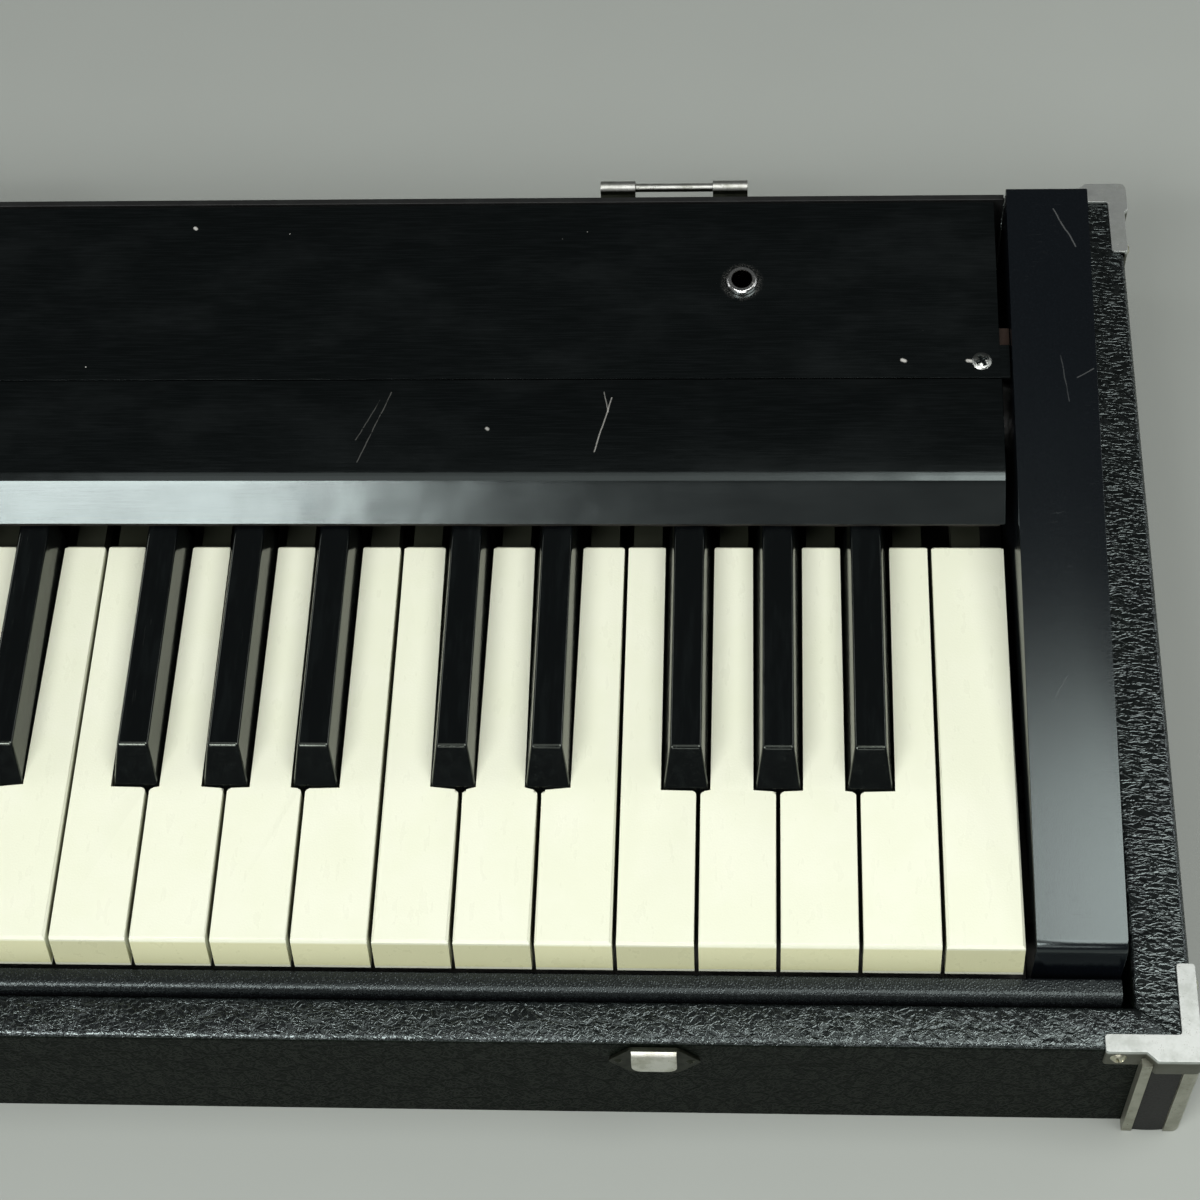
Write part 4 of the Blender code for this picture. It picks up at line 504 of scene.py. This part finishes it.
def refine(node, look, body):
    mesh = nodes[node].data.copy()
    work = bmesh.new()
    work.from_mesh(mesh)
    bmesh.ops.remove_doubles(work, verts=work.verts, dist=1e-6)
    bmesh.ops.dissolve_limit(work, angle_limit=math.radians(0.5), verts=work.verts, edges=work.edges)
    weights = work.edges.layers.float.new("bevel_weight_edge")
    for side in work.edges:
        if len(side.link_faces) == 2 and side.calc_face_angle(0.0) > math.radians(look.get("angle", 32)):
            side[weights] = look["weigh"](side.verts[0].co, side.verts[1].co) if "weigh" in look else 1.0
    if "reshape" in look:
        look["reshape"](work.verts)
    work.to_mesh(mesh)
    work.free()
    mesh.materials.clear()
    mesh.materials.append(look["material"])
    if "second" in look:
        mesh.materials.append(look["second"])
        for face in mesh.polygons:
            face.material_index = 1 if look["where"](face.center, face.normal) else 0
    shadeByAngle(mesh, 35)
    piece = bpy.data.objects.new(f"{node}_skin", mesh)
    bpy.context.scene.collection.objects.link(piece)
    if look["edge"]:
        rounding = piece.modifiers.new("rounding", "BEVEL")
        rounding.width = look["edge"]
        rounding.segments = look.get("segments", 2)
        rounding.limit_method = "WEIGHT"
        rounding.harden_normals = True
    if "flats" in look:
        flats = piece.modifiers.new("flats", "WEIGHTED_NORMAL")
        flats.weight = look["flats"]
        flats.keep_sharp = True
    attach(piece, body)
    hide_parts(node)
    return piece


def widenCrest(verts):
    for vert in verts:
        offset = Vector((0.0, vert.co.y - noseY, vert.co.z - noseZ))
        if offset.length < crestLook["near"]:
            vert.co += offset * (crestLook["scale"] - 1)
            vert.co.y -= crestLook["shift"]
            vert.co.z -= crestLook["shift"] * math.tan(plateSlope)


def onLip(centre, normal):
    return normal.y < -0.35 and normal.z > 0.3 and centre.y < noseY


def onWall(centre, normal):
    return normal.z < 0.55


def underCap(centre, normal):
    return centre.z < rimZ - 0.0082


def besideLip(centre, normal):
    return centre.y > caseFrontY - 0.00135 or normal.y > 0.2


def awayFromPin(centre, normal):
    reach = math.hypot(centre.y - caseRearY - 0.0055, centre.z - rimZ + 0.001)
    return reach > 0.0026 or (normal.y < 0 and normal.z < 0.45)


def whiteRounding(first, second):
    low = min(first.z, second.z)
    if low > keyTopZ - 0.003:
        return 1.0
    if max(first.y, second.y) < keyFrontY + 0.001 and abs(first.z - second.z) > 0.003:
        return 0.8
    return 0.3


def blackRounding(first, second):
    return 1.0 if min(first.z, second.z) > keyTopZ - 0.002 else 0.3


def capRounding(first, second):
    return 1.0 if min(first.z, second.z) > rimZ + 0.0008 else 0.25


crestLook = {"near": 0.0017, "scale": 2.0, "shift": 0.0011}
bodyOf = {member: body for body, members in frame["record"]["behaviour"]["bodies"].items() for member in members}
rimLook = {"second": shadedWallCloth, "where": onWall, "edge": 0}
capLook = {"material": capMetal, "second": edgingMetal, "where": underCap, "edge": 0.0007, "segments": 4,
           "weigh": capRounding}
hingeLook = {"material": nickelPlate, "second": agedShadedSteel, "where": awayFromPin, "edge": 0.0003}
catchLook = {"material": catchMetal, "second": agedShadedSteel, "where": besideLip, "edge": 0.0003}
plainBlack = {"material": blackPlastic, "edge": 0.0003}
finishes = {
    "cover": {"front_wall": {**rimLook, "material": levantFront}, "rear_wall": {**rimLook, "material": levantFront},
              "side_wall_left": {**rimLook, "material": levantSide},
              "side_wall_right": {**rimLook, "material": levantSide}},
    "slip_cover": {"keyslip": {"material": pebbleVinyl, "edge": 0}},
    "cheek_paint": {"cheek_left": {"material": cheekPaint, "edge": 0}, "cheek_right": {"material": cheekPaint, "edge": 0}},
    "panel_paint": {"panel_nose": {"material": panelPaint, "second": lipPaint, "where": onLip, "edge": 0.0003,
                                   "reshape": widenCrest},
                    "panel_plate": {"material": panelPaint, "edge": 0.0003},
                    "rear_panel": {"material": rearPaint, "edge": 0.0002}},
    "nickel": {"panel_jack": {"material": chromeJack, "edge": 0.0002},
               "corner_guard_front_left": capLook, "corner_guard_front_right": capLook,
               "corner_guard_rear_left": capLook, "corner_guard_rear_right": capLook,
               "lid_hinge_left": hingeLook, "lid_hinge_right": hingeLook,
               "latch_catch_left": catchLook, "latch_catch_right": catchLook},
    "board_wood": {"bottom_board": {"material": baseWood, "edge": 0.0005}},
    "chassis": {"key_bed": {"material": zincSheet, "edge": 0}},
    "aluminium": {"pivot_rail": {"material": aluminium, "edge": 0}},
    "circuit_board": {"main_board": {"material": greenBoard, "edge": 0.0001}},
    "core_steel": {"power_transformer": {"material": coreSteel, "edge": 0.0003}},
    "black_plastic": {"power_inlet": plainBlack, "volume_knob": plainBlack, "tuning_knob": plainBlack,
                      "power_switch": {**plainBlack, "edge": 0.0002}}}
for slot, looks in finishes.items():
    for node, look in looks.items():
        refine(node, look, bodyOf[node])
keyLook = {"white": {"material": creamPlastic, "edge": 0.0008, "segments": 3, "weigh": whiteRounding},
           "black": {"material": blackGloss, "edge": 0.0009, "segments": 4, "weigh": blackRounding, "flats": 90}}
for node in sorted(nodes):
    if node.startswith("key_") and node != "key_bed":
        colour = "black" if node.endswith("_sharp") else "white"
        refine(node, keyLook[colour], bodyOf[node])
left = sorted(name for name, item in nodes.items() if not item.hide_render)
print("frame dressed, nodes left plain:", left)


# Small dressing pieces

def addPiece(name, work, material, body, degrees=35):
    mesh = bpy.data.meshes.new(name)
    bmesh.ops.recalc_face_normals(work, faces=work.faces)
    work.to_mesh(mesh)
    work.free()
    mesh.materials.append(material)
    shadeByAngle(mesh, degrees)
    piece = bpy.data.objects.new(name, mesh)
    bpy.context.scene.collection.objects.link(piece)
    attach(piece, body)
    return piece


def screwHead(name, centre, axis, look):
    work = bmesh.new()
    rings, spokes = 14, 48
    radius, dome = look["radius"], look["dome"]
    rows = []
    for i in range(rings + 1):
        share = i / rings
        r = radius * share
        row = []
        for k in range(spokes):
            angle = 2 * math.pi * k / spokes
            x, y = r * math.cos(angle), r * math.sin(angle)
            h = dome * (1 - share ** look["roundness"])
            inCross = min(abs(x), abs(y)) < look["slot"] * radius and r < look["crossReach"] * radius
            inSlot = look["single"] and abs(y) < look["slot"] * radius
            if (inCross and not look["single"]) or inSlot:
                h -= look["slotDepth"]
            row.append(work.verts.new((x, y, h)))
            if i == 0:
                break
        rows.append(row)
    under = [work.verts.new((v.co.x, v.co.y, -look["sunk"])) for v in rows[-1]]
    rows.append(under)
    for k in range(spokes):
        n = (k + 1) % spokes
        work.faces.new((rows[0][0], rows[1][k], rows[1][n]))
        for low, high in zip(rows[1:], rows[2:]):
            work.faces.new((low[k], high[k], high[n], low[n]))
    work.faces.new(under[::-1])
    turn = Vector((0, 0, 1)).rotation_difference(Vector(axis)).to_matrix().to_4x4()
    spin = Matrix.Rotation(look["turn"], 4, "Z")
    bmesh.ops.transform(work, matrix=Matrix.Translation(centre) @ turn @ spin, verts=work.verts)
    return addPiece(name, work, look.get("material", nickelPlate), "chassis", 40)


capScrew = {"radius": 0.0024, "dome": 0.0013, "roundness": 2.2, "slot": 0.13, "crossReach": 0.6, "single": False,
            "slotDepth": 0.0008, "sunk": 0.0002, "turn": 0.4, "material": brassScrew}
panelScrew = {"radius": 0.0031, "dome": 0.0009, "roundness": 2.8, "slot": 0.18, "crossReach": 0.7,
              "single": False, "slotDepth": 0.0009, "sunk": 0.0002, "turn": 0.5, "material": sparkSteel}
smallScrew = {"radius": 0.0014, "dome": 0.0005, "roundness": 2.2, "slot": 0.12, "crossReach": 0.9, "single": True,
              "slotDepth": 0.0003, "sunk": 0.0001, "turn": 0.7, "material": agedShadedSteel}
for sideName, sideX in (("right", 1), ("left", -1)):
    for depthName, faceY, sideY in (("front", caseFrontY - guardProud, -1), ("rear", caseRearY + guardProud, 1)):
        cornerY = faceY - sideY * guardProud
        screwHead(f"cap_screw_{depthName}_{sideName}",
                  (sideX * (halfWidth - 0.022), cornerY + sideY * 0.0012, 0.0515), (0, sideY, 0), capScrew)
        screwHead(f"cap_side_screw_{depthName}_{sideName}",
                  (sideX * (halfWidth + 0.0012), cornerY - sideY * 0.0215, 0.0515), (sideX, 0, 0), capScrew)
        work = bmesh.new()
        outer, inner = halfWidth - 0.0031, halfWidth - 0.0123
        low, high = 0.0004, 0.0468
        base = cornerY + sideY * 0.00302
        steps = 8
        profile = [(inner, base)]
        for i in range(steps + 1):
            share = i / steps
            rise = 0.00030 + 0.00022 * math.sin(math.pi * share)
            profile.append((inner + (outer - inner) * (0.02 + 0.96 * share), base + sideY * rise))
        profile.append((outer, base))
        lows = [work.verts.new((sideX * x, y, low)) for x, y in profile]
        highs = [work.verts.new((sideX * x, y, high)) for x, y in profile]
        count = len(profile)
        for i in range(count):
            j = (i + 1) % count
            work.faces.new((lows[i], lows[j], highs[j], highs[i]))
        work.faces.new(lows)
        work.faces.new(highs[::-1])
        addPiece(f"edging_insert_{depthName}_{sideName}", work, insertVinyl, "chassis", 20)
    screwY = 0.0504
    screwHead(f"panel_screw_{sideName}", (sideX * 0.2171, screwY, plateHeight(screwY)), plateNormal, panelScrew)
    for shift in (-0.02, 0.0, 0.02):
        label = {-0.02: "a", 0.0: "b", 0.02: "c"}[shift]
        screwHead(f"hinge_screw_{sideName}_{label}", (fittingX[sideName] + shift, caseRearY + 0.0016, 0.038),
                  (0, 1, 0), smallScrew)
    for shift, label in ((-0.0105, "a"), (0.0105, "b")):
        screwHead(f"catch_screw_{sideName}_{label}", (fittingX[sideName] + shift, caseFrontY - 0.0013, 0.0446),
                  (0, -1, 0), smallScrew)
print("screws and inserts made")

work = bmesh.new()
feltWidth, feltLow, feltHigh = 0.2215, 0.0837, 0.0847
stations = 90
sections = []
for i in range(stations + 1):
    x = -feltWidth + 2 * feltWidth * i / stations
    sag = 0.00012 * math.sin(i * 1.7) + 0.00008 * math.sin(i * 0.61)
    sections.append([work.verts.new((x, y, z)) for y, z in (
        (lipY + 0.0002, feltLow + sag), (lipY + 0.0017, feltLow + sag), (lipY + 0.0017, feltHigh),
        (lipY + 0.0002, feltHigh))])
for first, second in zip(sections, sections[1:]):
    for i in range(4):
        j = (i + 1) % 4
        work.faces.new((first[i], first[j], second[j], second[i]))
work.faces.new(sections[0])
work.faces.new(sections[-1][::-1])
addPiece("lip_felt", work, brownFelt, "chassis", 60)


# Floor, light and camera

stageLook = {"floor": (0.34, 0.362, 0.34), "reach": 3.0, "world": 0.05, "background": (0.66, 0.69, 0.67)}
floorPaint = Paint("stage_paper")
mottle = floorPaint.noise(floorPaint.place, 0.05, 4.0)
floorTone = floorPaint.mix(mottle, tuple(c * 0.96 for c in stageLook["floor"]), stageLook["floor"])
floorPaint.surface({"Base Color": floorTone, "Roughness": 0.8 + mottle * 0.1})
work = bmesh.new()
bmesh.ops.create_grid(work, x_segments=8, y_segments=8, size=stageLook["reach"])
floorMesh = bpy.data.meshes.new("stage_floor")
work.to_mesh(floorMesh)
work.free()
floorMesh.materials.append(floorPaint.material)
floor = bpy.data.objects.new("stage_floor", floorMesh)
floor.location.z = -0.0002
bpy.context.scene.collection.objects.link(floor)

world = bpy.data.worlds.new("studio")
bpy.context.scene.world = world
world.use_nodes = True
tree = world.node_tree
tree.nodes.clear()
rays = tree.nodes.new("ShaderNodeLightPath")
soft = tree.nodes.new("ShaderNodeBackground")
soft.inputs["Color"].default_value = (0.93, 0.97, 0.95, 1.0)
soft.inputs["Strength"].default_value = stageLook["world"]
plain = tree.nodes.new("ShaderNodeBackground")
plain.inputs["Color"].default_value = stageLook["background"] + (1.0,)
plain.inputs["Strength"].default_value = 1.0
choose = tree.nodes.new("ShaderNodeMixShader")
out = tree.nodes.new("ShaderNodeOutputWorld")
tree.links.new(rays.outputs["Is Camera Ray"], choose.inputs[0])
tree.links.new(soft.outputs[0], choose.inputs[1])
tree.links.new(plain.outputs[0], choose.inputs[2])
tree.links.new(choose.outputs[0], out.inputs["Surface"])


def addSoftLight(name, place, target, size, power, tint):
    light = bpy.data.lights.new(name, "AREA")
    light.shape = "RECTANGLE"
    light.size, light.size_y = size
    light.energy = power
    light.color = tint
    lamp = bpy.data.objects.new(name, light)
    lamp.location = place
    lamp.rotation_euler = (Vector(target) - Vector(place)).to_track_quat("-Z", "Y").to_euler()
    bpy.context.scene.collection.objects.link(lamp)


addSoftLight("overhead_right", (0.81, -0.37, 1.6), (0.81, -0.37, 0.0), (1.02, 1.0), 20.0, (1.0, 1.0, 0.97))
addSoftLight("overhead_left", (-0.09, -0.37, 1.6), (-0.09, -0.37, 0.0), (0.78, 1.0), 2.5, (1.0, 1.0, 0.97))
addSoftLight("front_left", (-0.73, -1.2, 1.5), (0.0, 0.0, 0.08), (1.0, 0.5), 25.5, (1.0, 1.0, 0.98))
addSoftLight("front_low", (0.1, -1.95, 1.05), (0.1, 0.0, 0.05), (1.8, 0.3), 5.0, (1.0, 1.0, 0.98))
addSoftLight("side_left", (-1.3, 0.35, 0.75), (0.0, 0.0, 0.05), (1.1, 0.5), 3.5, (1.0, 1.0, 1.0))
addSoftLight("side_right", (1.6, 0.35, 0.75), (0.1, 0.0, 0.05), (1.1, 0.5), 4.0, (1.0, 1.0, 1.0))

pitch, yaw, roll = (math.radians(v) for v in (58.1, 6.5, 5.4))
turn = Matrix.Rotation(yaw, 3, "Z")
forward = turn @ Vector((0, math.cos(pitch), -math.sin(pitch)))
right = turn @ Vector((1, 0, 0))
down = forward.cross(right)
acrossAxis = math.cos(roll) * right + math.sin(roll) * down
downAxis = -math.sin(roll) * right + math.cos(roll) * down
cameraData = bpy.data.cameras.new("photo_camera")
cameraData.lens = 78.21
cameraData.sensor_width = 36.0
camera = bpy.data.objects.new("photo_camera", cameraData)
camera.matrix_world = Matrix((
    (acrossAxis.x, -downAxis.x, -forward.x, 0.1468), (acrossAxis.y, -downAxis.y, -forward.y, -0.44525),
    (acrossAxis.z, -downAxis.z, -forward.z, 0.7587), (0, 0, 0, 1)))
bpy.context.scene.collection.objects.link(camera)
bpy.context.scene.camera = camera
bpy.context.scene.view_settings.view_transform = "Standard"
print("stage made")
